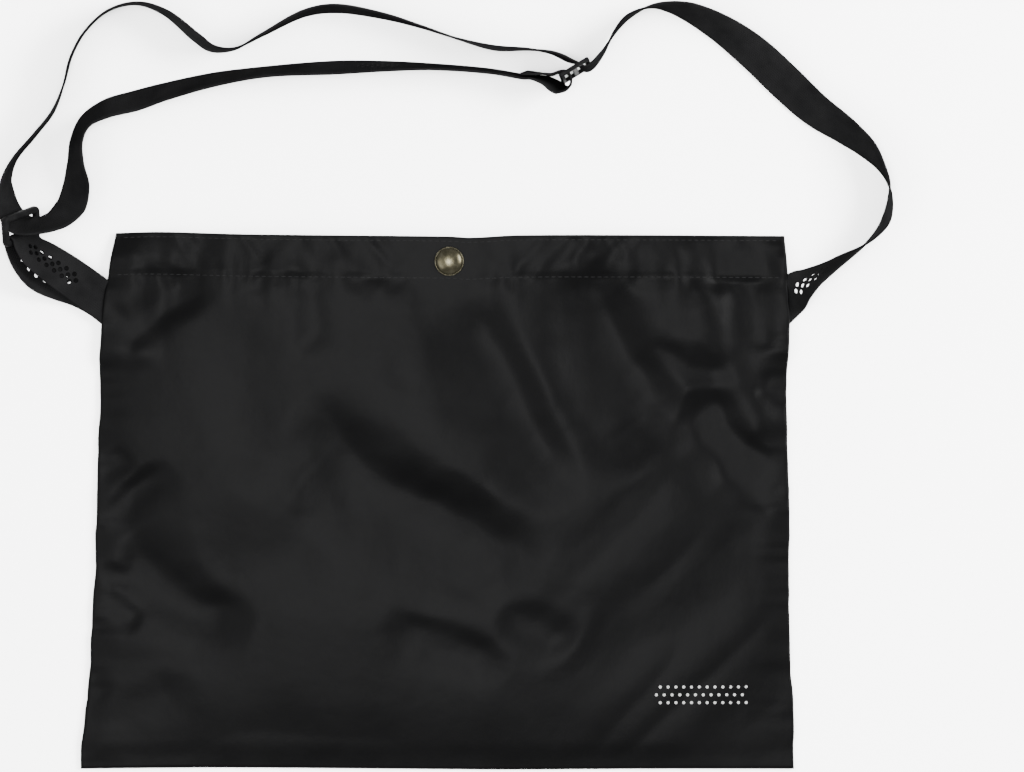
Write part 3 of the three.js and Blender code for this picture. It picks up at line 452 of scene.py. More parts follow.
# Grid of a panel: even steps, and the close lines of EDGE_STEPS beside each edge
def panel_places(step):
    close = np.array(EDGE_STEPS) * MM
    inner = close[-1]

    def lines(length):
        count = round((length - 2 * inner) / step)
        middle = np.linspace(inner, length - inner, count + 1)[1:-1]
        return np.concatenate([close, middle, length - close[::-1]]) / length

    return Places(2 * lines(BAG_WIDTH)[None, :] - 1, lines(BAG_HEIGHT)[:, None])


# Rise of one fold: a crease along its line, with its own half width on each side, fading at its ends
def fold_height(x, y, row):
    height, left_width, right_width, points = row
    line = np.array(points) * MM
    lengths = np.hypot(*np.diff(line, axis=0).T)
    total = lengths.sum()
    nearest = np.full(x.shape, np.inf)
    side, at = np.zeros(x.shape), np.zeros(x.shape)
    for i, length in enumerate(lengths):
        run = (line[i + 1] - line[i]) / length
        dx, dy = x - line[i][0], y - line[i][1]
        share = np.clip(dx * run[0] + dy * run[1], 0, length)
        away = np.hypot(dx - share * run[0], dy - share * run[1])
        closer = away < nearest
        nearest = np.where(closer, away, nearest)
        side = np.where(closer, run[0] * dy - run[1] * dx, side)
        at = np.where(closer, (lengths[:i].sum() + share) / total, at)
    width = mix(right_width, left_width, smooth(-4 * MM, 4 * MM, side)) * MM
    core = np.sqrt(nearest**2 + FOLD_CORE**2) - FOLD_CORE
    fade = smooth(-0.05, FOLD_TAPER, at) * smooth(1.05, 1 - FOLD_TAPER, at)
    return height * MM * fade * np.exp(-((core / width) ** FOLD_SHARPNESS))


# All folds together: where they meet, the deeper valley and the higher ridge win
def folds(x, y):
    def warped(base, seed):
        wide = WARP[0] * noise(x, y, WARP[1], WARP[1], seed)
        fine = FINE_WARP[0] * noise(x, y, FINE_WARP[1], FINE_WARP[1], seed + 1)
        return base + wide + fine

    warp_x, warp_y = warped(x, 31), warped(y, 33)
    heights = np.array([fold_height(warp_x, warp_y, row) for row in FOLDS])
    ridge = (np.clip(heights, 0, None) ** FOLD_BLEND).sum(0) ** (1 / FOLD_BLEND)
    valley = (np.clip(-heights, 0, None) ** FOLD_BLEND).sum(0) ** (1 / FOLD_BLEND)
    return ridge - valley


# Lift of the front panel where webbing lies in the side seams
def tuck_bump(x, y):
    def near(inward, aside):
        inside = smooth(TUCK * TUCK_BUMP[1], TUCK * TUCK_BUMP[0], inward)
        return inside * smooth(WEB_WIDTH * TUCK_SPREAD[1], WEB_WIDTH * TUCK_SPREAD[0], np.abs(aside))

    bumps = near(x - left_seam.x, y - left_seam.y) + near(right_seam.x - x, y - right_seam.y)
    return TUCK_RISE * (WEB_THICKNESS + GAP) * bumps


# Height that never falls below zero, with a soft turn of a size
def soft_floor(height, size):
    return (height + np.sqrt(height**2 + size**2)) / 2


# Drop of a surface that turns over an edge with a radius
def turned_edge(distance, radius):
    inside = np.clip(radius - distance, 0, radius)
    return radius - np.sqrt(radius**2 - inside**2)


# Smooth field whose zero lines stand out as soft creases, from 0 at the creases to about 1
def creased(x, y, cell_x, cell_y, seed):
    field = noise(x, y, cell_x, cell_y, seed)
    return np.sqrt(field**2 + 0.004) - 0.06


# Small puckers and creases that the thread and the handling leave in the cloth, weighed in millimetres
def puckers(p):
    from_stitch = p.to_mouth - HEM_DEPTH
    gather = noise(p.x, p.y, *GATHER) + 0.5 * noise(p.x, p.y, *FINE_GATHER)
    wide = noise(p.x, p.y, *WIDE_GATHER)
    beside = np.exp(-np.abs(from_stitch) / np.where(from_stitch > 0, 8 * MM, 7 * MM))
    hem = smooth(30 * MM, 18 * MM, p.to_mouth)
    sides = creased(p.x, p.y, *SIDE_CREASES) * np.exp(-p.to_side / (10 * MM))
    bottom = noise(p.x, p.y, *BOTTOM_WAVES) * np.exp(-p.to_bottom / (8 * MM))
    turn = math.sqrt(0.5)
    down, up = (p.x - p.y) * turn, (p.x + p.y) * turn
    right = smooth(-20 * MM, 90 * MM, p.x)
    creases = mix(creased(p.x, p.y, *LEFT_CREASES), creased(up, down, *RIGHT_CREASES), right)
    soft = noise(p.x, p.y, *SOFT_WAVES) + 0.3 * creased(p.x, p.y, *CRUMPLES)
    inner = smooth(0, 14 * MM, np.minimum(p.to_side, p.to_bottom))
    slant = creased(p.x + 0.7 * p.y, p.y, *PULLED_LEFT) + 0.7 * creased(p.x - 0.9 * p.y, p.y, *PULLED_RIGHT)
    pulled = smooth(36 * MM, 20 * MM, p.to_mouth)
    small = 0.9 * gather * beside + 1.5 * wide * hem - 0.9 * slant * pulled - 1.3 * sides + 0.4 * bottom
    return (small + (0.75 * creases + 0.3 * soft) * inner) * MM


# Puckers that run out from under the cap
def snap_rays(x, y):
    distance = from_snap(x, y)
    angle = np.arctan2(y - snap_place.y, x - snap_place.x)
    rays = np.cos(5 * angle + 0.6) + 0.7 * np.cos(8 * angle + 2.1) + 0.4 * np.cos(13 * angle)
    reach = smooth(seat_radius, seat_radius + 3 * MM, distance) * np.exp(-(distance - seat_radius) / (8 * MM))
    return 0.3 * MM * rays * reach


# Outer face of the front panel
def front_top(p):
    pillow = (1 - np.abs(p.across) ** SIDE_ROUNDING) * (1 - (1 - p.height) ** BOTTOM_ROUNDING)
    raised = LOFT * pillow + folds(p.x, p.y) * np.minimum(1, pillow * FOLD_ONSET + 0.12)
    hem_step = HEM_STEP * smooth(HEM_DEPTH + 0.4 * MM, HEM_DEPTH - 0.6 * MM, p.to_mouth)
    groove = HEM_GROOVE * bell(p.to_mouth - HEM_DEPTH, GROOVE_WIDTH)
    top_groove = MOUTH_GROOVE * bell(p.to_mouth - MOUTH_STITCHES, GROOVE_WIDTH)
    z = CLOTH + GAP + CLOTH + tuck_bump(p.x, p.y) + raised + puckers(p)
    z = z + hem_step - groove - top_groove + snap_rays(p.x, p.y)
    z = mix(z, front_seat_top, smooth(seat_radius * PINCH_REACH, seat_radius, from_snap(p.x, p.y)))
    z = z - BOTTOM_STEP * smooth(BOTTOM_STEP_FROM, BOTTOM_STEP_TO, p.to_bottom)
    seam = turned_edge(np.minimum(p.to_side, p.to_bottom), SEAM_ROUND)
    lowest = mix(CLOTH_LOWEST, HEM_LOWEST, smooth(HEM_DEPTH + 1 * MM, HEM_DEPTH, p.to_mouth))
    return lowest + soft_floor(z - lowest, FLOOR_TURN) - seam


# Inner face of the front panel: one cloth below the outer face, two in the hem, closed in at the seams
def front_under(p, top):
    wall = mix(CLOTH_WALL, HEM_WALL, smooth(HEM_DEPTH + 1 * MM, HEM_DEPTH, p.to_mouth))
    wall = mix(wall, CLOTH + HEM_EXTRA, smooth(seat_radius * 2, seat_radius, from_snap(p.x, p.y)))
    seam = np.minimum(p.to_side, p.to_bottom)
    wall = mix(SEAM_EDGE, wall, smooth(0, SEAM_ROUND, seam))
    fold = turned_edge(p.to_mouth, HEM_WALL / 2)
    return top - wall + fold


# A closed sheet between two surfaces over the same grid
def slab(name, places, top, under):
    rows, columns = places.x.shape
    upper = np.stack([places.x, places.y, top], -1).reshape(-1, 3)
    lower = np.stack([places.x, places.y, under], -1).reshape(-1, 3)
    index = np.arange(rows * columns).reshape(rows, columns)
    low = index + rows * columns
    faces = []

    def band(a, b, c, d):
        faces.append(np.stack([a, b, c, d], -1).reshape(-1, 4))

    band(index[:-1, :-1], index[:-1, 1:], index[1:, 1:], index[1:, :-1])
    band(low[:-1, :-1], low[1:, :-1], low[1:, 1:], low[:-1, 1:])
    band(low[0, :-1], low[0, 1:], index[0, 1:], index[0, :-1])
    band(low[-1, 1:], low[-1, :-1], index[-1, :-1], index[-1, 1:])
    band(low[1:, 0], low[:-1, 0], index[:-1, 0], index[1:, 0])
    band(low[:-1, -1], low[1:, -1], index[1:, -1], index[:-1, -1])
    return new_mesh(name, np.concatenate([upper, lower]).tolist(), np.concatenate(faces).tolist())


def new_mesh(name, vertices, faces, crease=40):
    mesh = bpy.data.meshes.new(name)
    mesh.from_pydata(vertices, [], faces)
    mesh.validate()
    piece = link(bpy.data.objects.new(name, mesh))
    shade(piece, crease)
    return piece


def shade(piece, crease):
    piece.data.polygons.foreach_set("use_smooth", [True] * len(piece.data.polygons))
    piece.data.set_sharp_from_angle(angle=rad(crease))
    piece.data.update()


# Hole for the press stud's post
def cut_post(piece, low, high):
    radius = POST_DIAMETER / 2 + GAP / 2
    bpy.ops.mesh.primitive_cylinder_add(vertices=64, radius=radius, depth=high - low)
    cutter = bpy.context.object
    cutter.location = (snap_place.x, snap_place.y, (low + high) / 2)
    cut(piece, cutter)


def cut(piece, cutter):
    modifier = piece.modifiers.new("cut", "BOOLEAN")
    modifier.operation = "DIFFERENCE"
    modifier.solver = "MANIFOLD"
    modifier.object = cutter
    bpy.context.view_layer.update()
    settled = bpy.data.meshes.new_from_object(piece.evaluated_get(bpy.context.evaluated_depsgraph_get()))
    piece.modifiers.clear()
    piece.data = settled
    bpy.data.objects.remove(cutter)


def front_panel():
    p = panel_places(GRID_STEP)
    top = front_top(p)
    piece = slab("front_cloth", p, top - turned_edge(p.to_mouth, HEM_WALL / 2), front_under(p, top))
    cut_post(piece, front_seat - 2 * MM, front_seat_top + 2 * MM)
    shade(piece, 60)
    return piece


def back_panel():
    p = panel_places(BACK_STEP)
    rise = back_lift * smooth(RISE_FOOT, RISE_TOP, from_snap(p.x, p.y))
    seam = np.minimum(p.to_side, p.to_bottom)
    ripple = 0.12 * MM * (1 + noise(p.x, p.y, *BACK_RIPPLES)) * smooth(0, 20 * MM, seam)
    under = rise + turned_edge(seam, 1.1 * MM) + 0.25 * ripple
    hem = smooth(HEM_DEPTH + 0.5 * MM, HEM_DEPTH - 0.5 * MM, p.to_mouth)
    wall = mix(CLOTH_WALL, HEM_WALL, hem)
    top = rise + wall + ripple
    top = mix(SEAM_HEIGHT - 0.06 * MM, top, smooth(0, SEAM_RISE, seam))
    fold = turned_edge(p.to_mouth, HEM_WALL / 2)
    piece = slab("back_cloth", p, top - fold, np.minimum(under + fold, top - fold - 0.15 * MM))
    cut_post(piece, -1 * MM, 6 * MM)
    shade(piece, 60)
    return piece


# Frames of the ring and the slider
ring_long = Vector((math.cos(rad(RING_TURN)), math.sin(rad(RING_TURN)), math.tan(rad(RING_TILT))))
ring_long.normalize()
ring_slope = Vector((0, -1, math.tan(rad(RING_PITCH))))
ring_deep = (ring_slope - ring_long * ring_long.dot(ring_slope)).normalized()
ring_up = ring_long.cross(ring_deep)
ring_middle = Vector((
    left_seam.x + TAB_RUN * math.cos(rad(TAB_ANGLE)),
    left_seam.y + TAB_RUN * math.sin(rad(TAB_ANGLE)),
    (RING_BAR + (RING_LENGTH - RING_BAR) * ring_long.z - (RING_DEPTH - RING_BAR) * ring_deep.z) / 2,
))
slider_along = Vector((math.cos(rad(SLIDER_ANGLE)), math.sin(rad(SLIDER_ANGLE)), 0))
slider_side = Vector((-slider_along.y, slider_along.x, 0))


def leaning(level, angle):
    return level * math.cos(rad(angle)) + Vector((0, 0, math.sin(rad(angle))))


slider_bars = leaning(slider_side, 90 - SLIDER_TILT)
slider_height = WEB_WIDTH + 2 * SLIDER_FIT + 2 * SLIDER_RAIL
slider_middle = Vector((
    SLIDER_ACROSS * BAG_WIDTH,
    BAG_HEIGHT / 2 + SLIDER_REACH * STRAP_REACH,
    slider_height / 2 * math.cos(rad(SLIDER_TILT)) + SLIDER_THICKNESS / 2 * math.sin(rad(SLIDER_TILT)),
))


def ring_point(a, b, n):
    return ring_middle + ring_deep * a + ring_long * b + ring_up * n


# Rows of webbing: a plan place, a lean and a lift become a middle point and a direction across
def standing(places):
    rows = []
    for i, (x, y, lean, lift) in enumerate(places):
        before = places[max(0, i - 1)]
        after = places[min(len(places) - 1, i + 1)]
        heading = Vector((after[0] - before[0], after[1] - before[1], 0)).normalized()
        side = Vector((-heading.y, heading.x, 0))
        height = WEB_WIDTH * abs(math.sin(rad(lean))) + WEB_THICKNESS * abs(math.cos(rad(lean)))
        rows.append((Vector((x, y, lift * WEB_WIDTH + height / 2 + WEB_CLEAR)), leaning(side, lean)))
    return rows


def strap_rows():
    def free(across, reach):
        return across * BAG_WIDTH, BAG_HEIGHT / 2 + reach * STRAP_REACH

    def at_seam(dx, dy):
        return right_seam.x + dx * WEB_WIDTH, right_seam.y + dy * WEB_WIDTH

    def at_ring(dx, dy):
        return ring_middle.x + dx * RING_LENGTH, ring_middle.y + dy * RING_LENGTH

    def at_slider(s, q):
        place = slider_middle + slider_along * s * SLIDER_LENGTH + slider_side * q * SLIDER_LENGTH
        return place.x, place.y

    stretches = [
        (SEAM_ROUTE, at_seam), (RIGHT_ROUTE, free), (WEAVE_ROUTE, at_slider), (FAR_ROUTE, free),
        (RING_ROUTE, at_ring), (NEAR_ROUTE, free), (LOOP_ROUTE, at_slider),
    ]
    return standing([(*place(a, b), lean, lift) for rows, place in stretches for a, b, lean, lift in rows])


def tab_rows():
    bar = (RING_DEPTH - RING_BAR) / 2
    run = ring_point(bar, 0, 0) - left_seam
    run.z = 0
    side = Vector((-run.y, run.x, 0)).normalized()

    def layer(share, offset, lean, height):
        at = left_seam + run * share + side * offset * WEB_WIDTH
        at.z = height * WEB_WIDTH
        return at, leaning(side, lean)

    def turn(a, n):
        return ring_point(bar + a * RING_BAR, 0, n * RING_BAR), ring_long.copy()

    return [layer(*r) for r in TAB_FRONT] + [turn(*r) for r in TAB_TURN] + [layer(*r) for r in TAB_BACK]


# A point and its direction on the curve through four points, between the second and the third
def bent(points, spacing, t):
    p0, p1, p2, p3 = points
    d0, d1, d2 = spacing
    start = ((p1 - p0) / d0 - (p2 - p0) / (d0 + d1) + (p2 - p1) / d1) * d1
    end = ((p2 - p1) / d1 - (p3 - p1) / (d1 + d2) + (p3 - p2) / d2) * d1
    place = p1 + start * t + (3 * (p2 - p1) - 2 * start - end) * t**2 + (2 * (p1 - p2) + start + end) * t**3
    slope = start + 2 * (3 * (p2 - p1) - 2 * start - end) * t + 3 * (2 * (p1 - p2) + start + end) * t**2
    return place, slope


# Stations along rows of webbing: place, across, face and the length travelled
def stations_of(rows, step):
    ats = [row[0] for row in rows]
    sides = [row[1] for row in rows]
    last = len(rows) - 1
    stations = []
    travelled = 0
    for i in range(last):
        steps = max(2, math.ceil((ats[i + 1] - ats[i]).length / step))
        quad = [ats[i - 1] if i else 2 * ats[0] - ats[1], ats[i], ats[i + 1]]
        quad.append(ats[i + 2] if i + 2 <= last else 2 * ats[last] - ats[last - 1])
        spacing = [math.sqrt((quad[j + 1] - quad[j]).length) for j in range(3)]
        around = [sides[max(0, i - 1)], sides[i], sides[i + 1], sides[min(last, i + 2)]]
        for j in range(steps + (i == last - 1)):
            at, heading = bent(quad, spacing, j / steps)
            across = bent(around, (1, 1, 1), j / steps)[0]
            heading.normalize()
            across = (across - heading * across.dot(heading)).normalized()
            if stations:
                travelled += (at - stations[-1]["at"]).length
            face = heading.cross(across)
            stations.append({"at": at, "across": across, "face": face, "travelled": travelled})
    return stations


# Section of the webbing: a thin band with rounded selvedges. Columns: across (-1 to 1), face
def web_section():
    half = WEB_WIDTH / 2 - WEB_THICKNESS / 2
    face = [(-half + 2 * half * i / 8, -WEB_THICKNESS / 2) for i in range(9)]
    turn = [(half + WEB_THICKNESS / 2 * math.cos(a), WEB_THICKNESS / 2 * math.sin(a))
            for a in (rad(-60), rad(-30), 0, rad(30), rad(60))]
    return face + turn + [(-a, -f) for a, f in face] + [(-a, -f) for a, f in turn]


def webbing(name, stations, holes, length):
    section = web_section()
    count = len(section)
    vertices = [s["at"] + s["across"] * a + s["face"] * f for s in stations for a, f in section]
    faces = []
    for i in range(len(stations) - 1):
        for j in range(count):
            a, b = i * count + j, i * count + (j + 1) % count
            faces.append((a, b, b + count, a + count))
    end = (len(stations) - 1) * count
    faces.append(tuple(reversed(range(count))))
    faces.append(tuple(range(end, end + count)))
    piece = new_mesh(name, vertices, faces)
    mesh = piece.data
    chart = mesh.uv_layers.new(name="web")
    for loop in mesh.loops:
        station, place = divmod(loop.vertex_index, count)
        chart.data[loop.index].uv = (stations[station]["travelled"], section[place][0])
    punch(piece, stations, holes, length)
    shade(piece, 35)
    return piece


# Three staggered lines of round holes
def punch(piece, stations, holes, length):
    rods = bmesh.new()
    for start, pitches in holes:
        first = start if start > 0 else length + start
        for line in (-1, 0, 1):
            stagger = 0 if line == 0 else HOLE_PITCH / 2
            for i in range(pitches if line == 0 else pitches - 1):
                at, across, face = station_at(stations, first + stagger + HOLE_PITCH * i)
                at = at + across * line * HOLE_LINE_GAP
                basis = Matrix((across.cross(face), across, face)).transposed()
                bmesh.ops.create_cone(
                    rods, cap_ends=True, segments=HOLE_SIDES, radius1=HOLE_DIAMETER / 2,
                    radius2=HOLE_DIAMETER / 2, depth=WEB_THICKNESS * 2.2,
                    matrix=Matrix.Translation(at) @ basis.to_4x4(),
                )
    mesh = bpy.data.meshes.new("rods")
    rods.to_mesh(mesh)
    rods.free()
    cut(piece, link(bpy.data.objects.new("rods", mesh)))


def station_at(stations, length):
    after = next(i for i, s in enumerate(stations) if s["travelled"] >= length)
    a, b = stations[max(0, after - 1)], stations[after]
    share = (length - a["travelled"]) / max(1e-9, b["travelled"] - a["travelled"])
    place = a["at"].lerp(b["at"], share)
    across = a["across"].lerp(b["across"], share).normalized()
    return place, across, a["face"].lerp(b["face"], share).normalized()


# Stations from where the webbing lies one tuck inside a side seam
def tucked(stations, seam, side):
    first = next(i for i, s in enumerate(stations) if side * (s["at"].x - seam.x) > -TUCK)
    return stations[first:]


# A moulded frame: a rounded outline with openings, all edges eased
def moulded(name, size, corner, openings, thickness, basis, middle):
    ease = thickness * 0.32
    data = bpy.data.curves.new(name, "CURVE")
    data.dimensions = "2D"
    data.fill_mode = "BOTH"
    data.extrude = thickness / 2 - ease
    data.bevel_depth = ease
    data.bevel_resolution = 3
    data.offset = -ease

    def outline(width, height, radius, x, reverse):
        points = []
        for sx, sy, turn in ((1, 1, 0), (-1, 1, 90), (-1, -1, 180), (1, -1, 270)):
            for k in range(7):
                angle = rad(turn + 15 * k)
                points.append((x + sx * (width / 2 - radius) + radius * math.cos(angle),
                               sy * (height / 2 - radius) + radius * math.sin(angle)))
        if reverse:
            points.reverse()
        spline = data.splines.new("POLY")
        spline.points.add(len(points) - 1)
        for point, (px, py) in zip(spline.points, points):
            point.co = (px, py, 0, 1)
        spline.use_cyclic_u = True

    outline(*size, corner, 0, False)
    for width, height, radius, x in openings:
        outline(width, height, radius, x, True)
    shape = link(bpy.data.objects.new(name, data))
    mesh = bpy.data.meshes.new_from_object(shape.evaluated_get(bpy.context.evaluated_depsgraph_get()))
    bpy.data.objects.remove(shape)
    mesh.transform(Matrix.Translation(middle) @ basis.to_4x4())
    mesh.name = name
    piece = link(bpy.data.objects.new(name, mesh))
    weld(piece)
    shade(piece, 50)
    return piece


def weld(piece):
    body = bmesh.new()
    body.from_mesh(piece.data)
    bmesh.ops.remove_doubles(body, verts=body.verts, dist=0.002 * MM)
    bmesh.ops.dissolve_degenerate(body, edges=body.edges, dist=0.001 * MM)
    bmesh.ops.recalc_face_normals(body, faces=body.faces)
    body.to_mesh(piece.data)
    body.free()


def ring():
    basis = Matrix((ring_long, ring_deep, ring_up)).transposed()
    hole = (RING_LENGTH - 2 * RING_BAR, RING_DEPTH - 2 * RING_BAR, 0.8 * MM, 0)
    return moulded("ring_frame", (RING_LENGTH, RING_DEPTH), RING_CORNER, [hole], RING_BAR, basis, ring_middle)


def slider():
    basis = Matrix((slider_along, slider_bars, slider_along.cross(slider_bars))).transposed()
    slot = (SLIDER_LENGTH - 3 * SLIDER_BAR) / 2
    shift = (SLIDER_BAR + slot) / 2
    slots = [(slot, slider_height - 2 * SLIDER_RAIL, 0.5 * MM, side * shift) for side in (-1, 1)]
    size = (SLIDER_LENGTH, slider_height)
    return moulded("slider_frame", size, SLIDER_CORNER, slots, SLIDER_THICKNESS, basis, slider_middle)


# Solid of revolution at the press stud
def turned(name, profile, crease=35):
    segments = 72
    vertices, faces, rings = [], [], []
    for radius, z in profile:
        if radius == 0:
            rings.append([len(vertices)])
            vertices.append((snap_place.x, snap_place.y, z))
            continue
        rings.append(list(range(len(vertices), len(vertices) + segments)))
        for k in range(segments):
            angle = 2 * math.pi * k / segments
            x = snap_place.x + radius * math.cos(angle)
            vertices.append((x, snap_place.y + radius * math.sin(angle), z))
    for low, high in zip(rings, rings[1:]):
        for k in range(segments):
            after = (k + 1) % segments
            corners = [low[k % len(low)], low[after % len(low)], high[after % len(high)], high[k % len(high)]]
            faces.append(tuple(dict.fromkeys(corners)))
    return new_mesh(name, vertices, faces, crease)


def arc(centre, radii, start, end, steps):
    turns = [rad(mix(start, end, i / steps)) for i in range(steps + 1)]
    return [(centre[0] + radii[0] * math.cos(t), centre[1] + radii[1] * math.sin(t)) for t in turns]


def snap_cap():
    foot = front_seat_top + 0.05 * MM
    rim = CAP_DIAMETER / 2
    roll = 0.55 * MM
    cavity = NUB_DIAMETER / 2 + GAP
    post = POST_DIAMETER / 2
    socket = SOCKET_DIAMETER / 2
    dome_foot = foot + 2 * roll * 0.75
    ease = 0.4 * MM
    chamfer = 0.3 * MM
    profile = [(0, nub_top + GAP), (cavity, nub_top + GAP), (cavity, socket_foot)]
    profile += [(socket - chamfer, socket_foot)]
    profile += arc((socket - ease, socket_foot + ease), (ease, ease), -80, 0, 4)
    profile += [(socket, socket_top - chamfer), (socket - ease, socket_top), (post, socket_top), (post, foot)]
    profile += [(rim - roll, foot)]
    profile += arc((rim - roll, foot + roll), (roll, roll), -70, 75, 8)
    inner = rim - roll * 0.9
    dome = front_seat_top + GAP + CAP_DOME - dome_foot
    profile += arc((0, dome_foot), (inner, dome), 4, 86, 22)
    profile += [(0, dome_foot + dome)]
    return turned("stud_cap", profile, 60)


def snap_stud():
    base = SOCKET_DIAMETER / 2
    post = POST_DIAMETER / 2
    nub = NUB_DIAMETER / 2
    top = stud_base + RIVET
    ease = 0.4 * MM
    chamfer = 0.3 * MM
    small = 0.2 * MM
    neck = nub * 0.86
    profile = [(0, 0), (base - ease, 0), (base, ease), (base - small, RIVET * 0.8), (post + 0.6 * MM, RIVET)]
    profile += [(post, RIVET), (post, stud_base), (base - small, stud_base), (base, stud_base + chamfer)]
    profile += [(base - chamfer, top), (neck, top), (neck, top + ease)]
    profile += arc((nub * 0.5, nub_top - nub * 0.5), (nub * 0.5, nub * 0.5), -20, 88, 8)
    profile += [(0, nub_top)]
    return turned("stud_base", profile, 50)


# Stitches: short rounded lengths of thread, each from a start to an end, with the side that faces out
def stitches(name, pairs, thickness):
    rings, segments = 6, 8
    slopes = np.pi * np.arange(1, rings) / rings
    turns = 2 * np.pi * np.arange(segments) / segments
    belt = [
        (math.cos(t), math.sin(t) * math.cos(u), math.sin(t) * math.sin(u)) for t in slopes for u in turns
    ]
    shape = np.array([(1, 0, 0), *belt, (-1, 0, 0)])
    last = len(shape) - 1
    faces = []
    for k in range(segments):
        after = (k + 1) % segments
        faces.append((0, 1 + k, 1 + after))
        faces.append((last, last - segments + after, last - segments + k))
        for r in range(rings - 2):
            low = 1 + r * segments
            faces.append((low + k, low + segments + k, low + segments + after, low + after))
    vertices, joined = [], []
    for start, end, normal in pairs:
        run = (end - start).normalized()
        side = normal.cross(run).normalized()
        axes = [run * (end - start).length / 2, side * thickness / 2, run.cross(side) * thickness * 0.42]
        middle = np.array((start + end) / 2)
        joined += [tuple(v + len(vertices) for v in face) for face in faces]
        vertices += (middle + shape @ np.array(axes)).tolist()
    return new_mesh(name, vertices, joined, 80)


def hem_stitches():
    pairs = []
    count = int((MOUTH_WIDTH - STITCH_MARGIN) / STITCH_PITCH)
    middles = (np.arange(count) + 0.5) / count * 2 - 1
    middles = middles * (1 - STITCH_MARGIN / MOUTH_WIDTH)
    half = STITCH_LENGTH / MOUTH_WIDTH
    for depth in (HEM_DEPTH, MOUTH_STITCHES):
        ends = []
        for shift in (-half, half):
            p = Places(middles + shift, np.full(count, 1 - depth / BAG_HEIGHT))
            ends.append(np.stack([p.x, p.y, front_top(p)], -1))
        for a, b in zip(*ends):
            middle = (a + b) / 2
            if from_snap(middle[0], middle[1]) > CAP_DIAMETER / 2 + 0.6 * MM:
                lift = Vector((0, 0, 0.02 * MM))
                pairs.append((Vector(a) + lift, Vector(b) + lift, Vector((0, 0, 1))))
        for a, b in zip(*ends):
            if from_snap(a[0], a[1]) > RISE_FOOT + 1 * MM:
                low = [Vector((end[0], end[1], BACK_STITCH_HEIGHT)) for end in (a, b)]
                pairs.append((*low, Vector((0, 0, 1))))
    return stitches("hem_thread", pairs, THREAD)


# Rows of stitches across the webbing, on one of its faces
def web_stitches(stations, lengths, side):
    pairs = []
    for length in lengths:
        at, across, face = station_at(stations, length)
        for i in range(6):
            centre = at + across * (i - 2.5) * 2.9 * MM + face * side * (WEB_THICKNESS / 2 + 0.02 * MM)
            reach = across * 1.1 * MM
            pairs.append((centre - reach, centre + reach, face * side))
    return pairs


# Shader nodes, written as expressions
class Shader:
    def __init__(self, name):
        self.material = bpy.data.materials.new(name)
        self.material.use_nodes = True
        self.tree = self.material.node_tree
        self.surface = self.tree.nodes["Principled BSDF"]

    def node(self, kind, inputs=(), **settings):
        made = self.tree.nodes.new(kind)
        for key, value in settings.items():
            setattr(made, key, value)
        for key, value in dict(inputs).items():
            self.put(value, made.inputs[key])
        return made

    def put(self, value, socket):
        if isinstance(value, bpy.types.NodeSocket):
            self.tree.links.new(value, socket)
        else:
            socket.default_value = value

    def place(self):
        return self.node("ShaderNodeTexCoord").outputs["Object"]

    def math(self, operation, a, b=0.0, c=0.0):
        return self.node("ShaderNodeMath", {0: a, 1: b, 2: c}, operation=operation).outputs[0]

    def noise(self, vector, scale, detail=3.0, rough=0.5):
        inputs = {"Vector": vector, "Scale": scale, "Detail": detail, "Roughness": rough}
        return self.node("ShaderNodeTexNoise", inputs).outputs["Fac"]

    def ramp(self, value, stops):
        made = self.node("ShaderNodeValToRGB", {"Fac": value})
        for i, (place, color) in enumerate(stops):
            stop = made.color_ramp.elements[i] if i < 2 else made.color_ramp.elements.new(place)
            stop.position = place
            stop.color = (*color, 1)
        return made.outputs["Color"]

    def between(self, value, low, high):
        return self.node("ShaderNodeMapRange", {"Value": value, "To Min": low, "To Max": high}).outputs[0]

    def bump(self, height, distance, strength=1.0, under=None):
        inputs = {"Height": height, "Distance": distance, "Strength": strength}
        if under is not None:
            inputs["Normal"] = under
        return self.node("ShaderNodeBump", inputs).outputs["Normal"]

    def wave(self, place, pitch):
        return self.math("SINE", self.math("MULTIPLY", place, 2 * math.pi / pitch))

    def finish(self, **inputs):
        for key, value in inputs.items():
            self.put(value, self.surface.inputs[key.replace("_", " ")])
        return self.material


def print_mask(s, x, y):
    rise = s.math("DIVIDE", s.math("SUBTRACT", y, PRINT_BOTTOM), PRINT_PITCH)
    stagger = s.math("MULTIPLY", s.math("MODULO", s.math("ABSOLUTE", s.math("FLOOR", rise)), 2.0), 0.5)
    column = s.math("ADD", s.math("DIVIDE", s.math("SUBTRACT", x, PRINT_LEFT), PRINT_PITCH), stagger)
    dx, dy = (s.math("POWER", s.math("SUBTRACT", s.math("FRACT", at), 0.5), 2.0) for at in (column, rise))
    dot = s.math("LESS_THAN", s.math("SQRT", s.math("ADD", dx, dy)), PRINT_DOT / PRINT_PITCH)

    def within(at, count):
        return s.math("MULTIPLY", s.math("GREATER_THAN", at, 0.0), s.math("LESS_THAN", at, float(count)))

    field = s.math("MULTIPLY", within(column, PRINT_COLUMNS), within(rise, PRINT_ROWS))
    return s.math("MULTIPLY", dot, field)


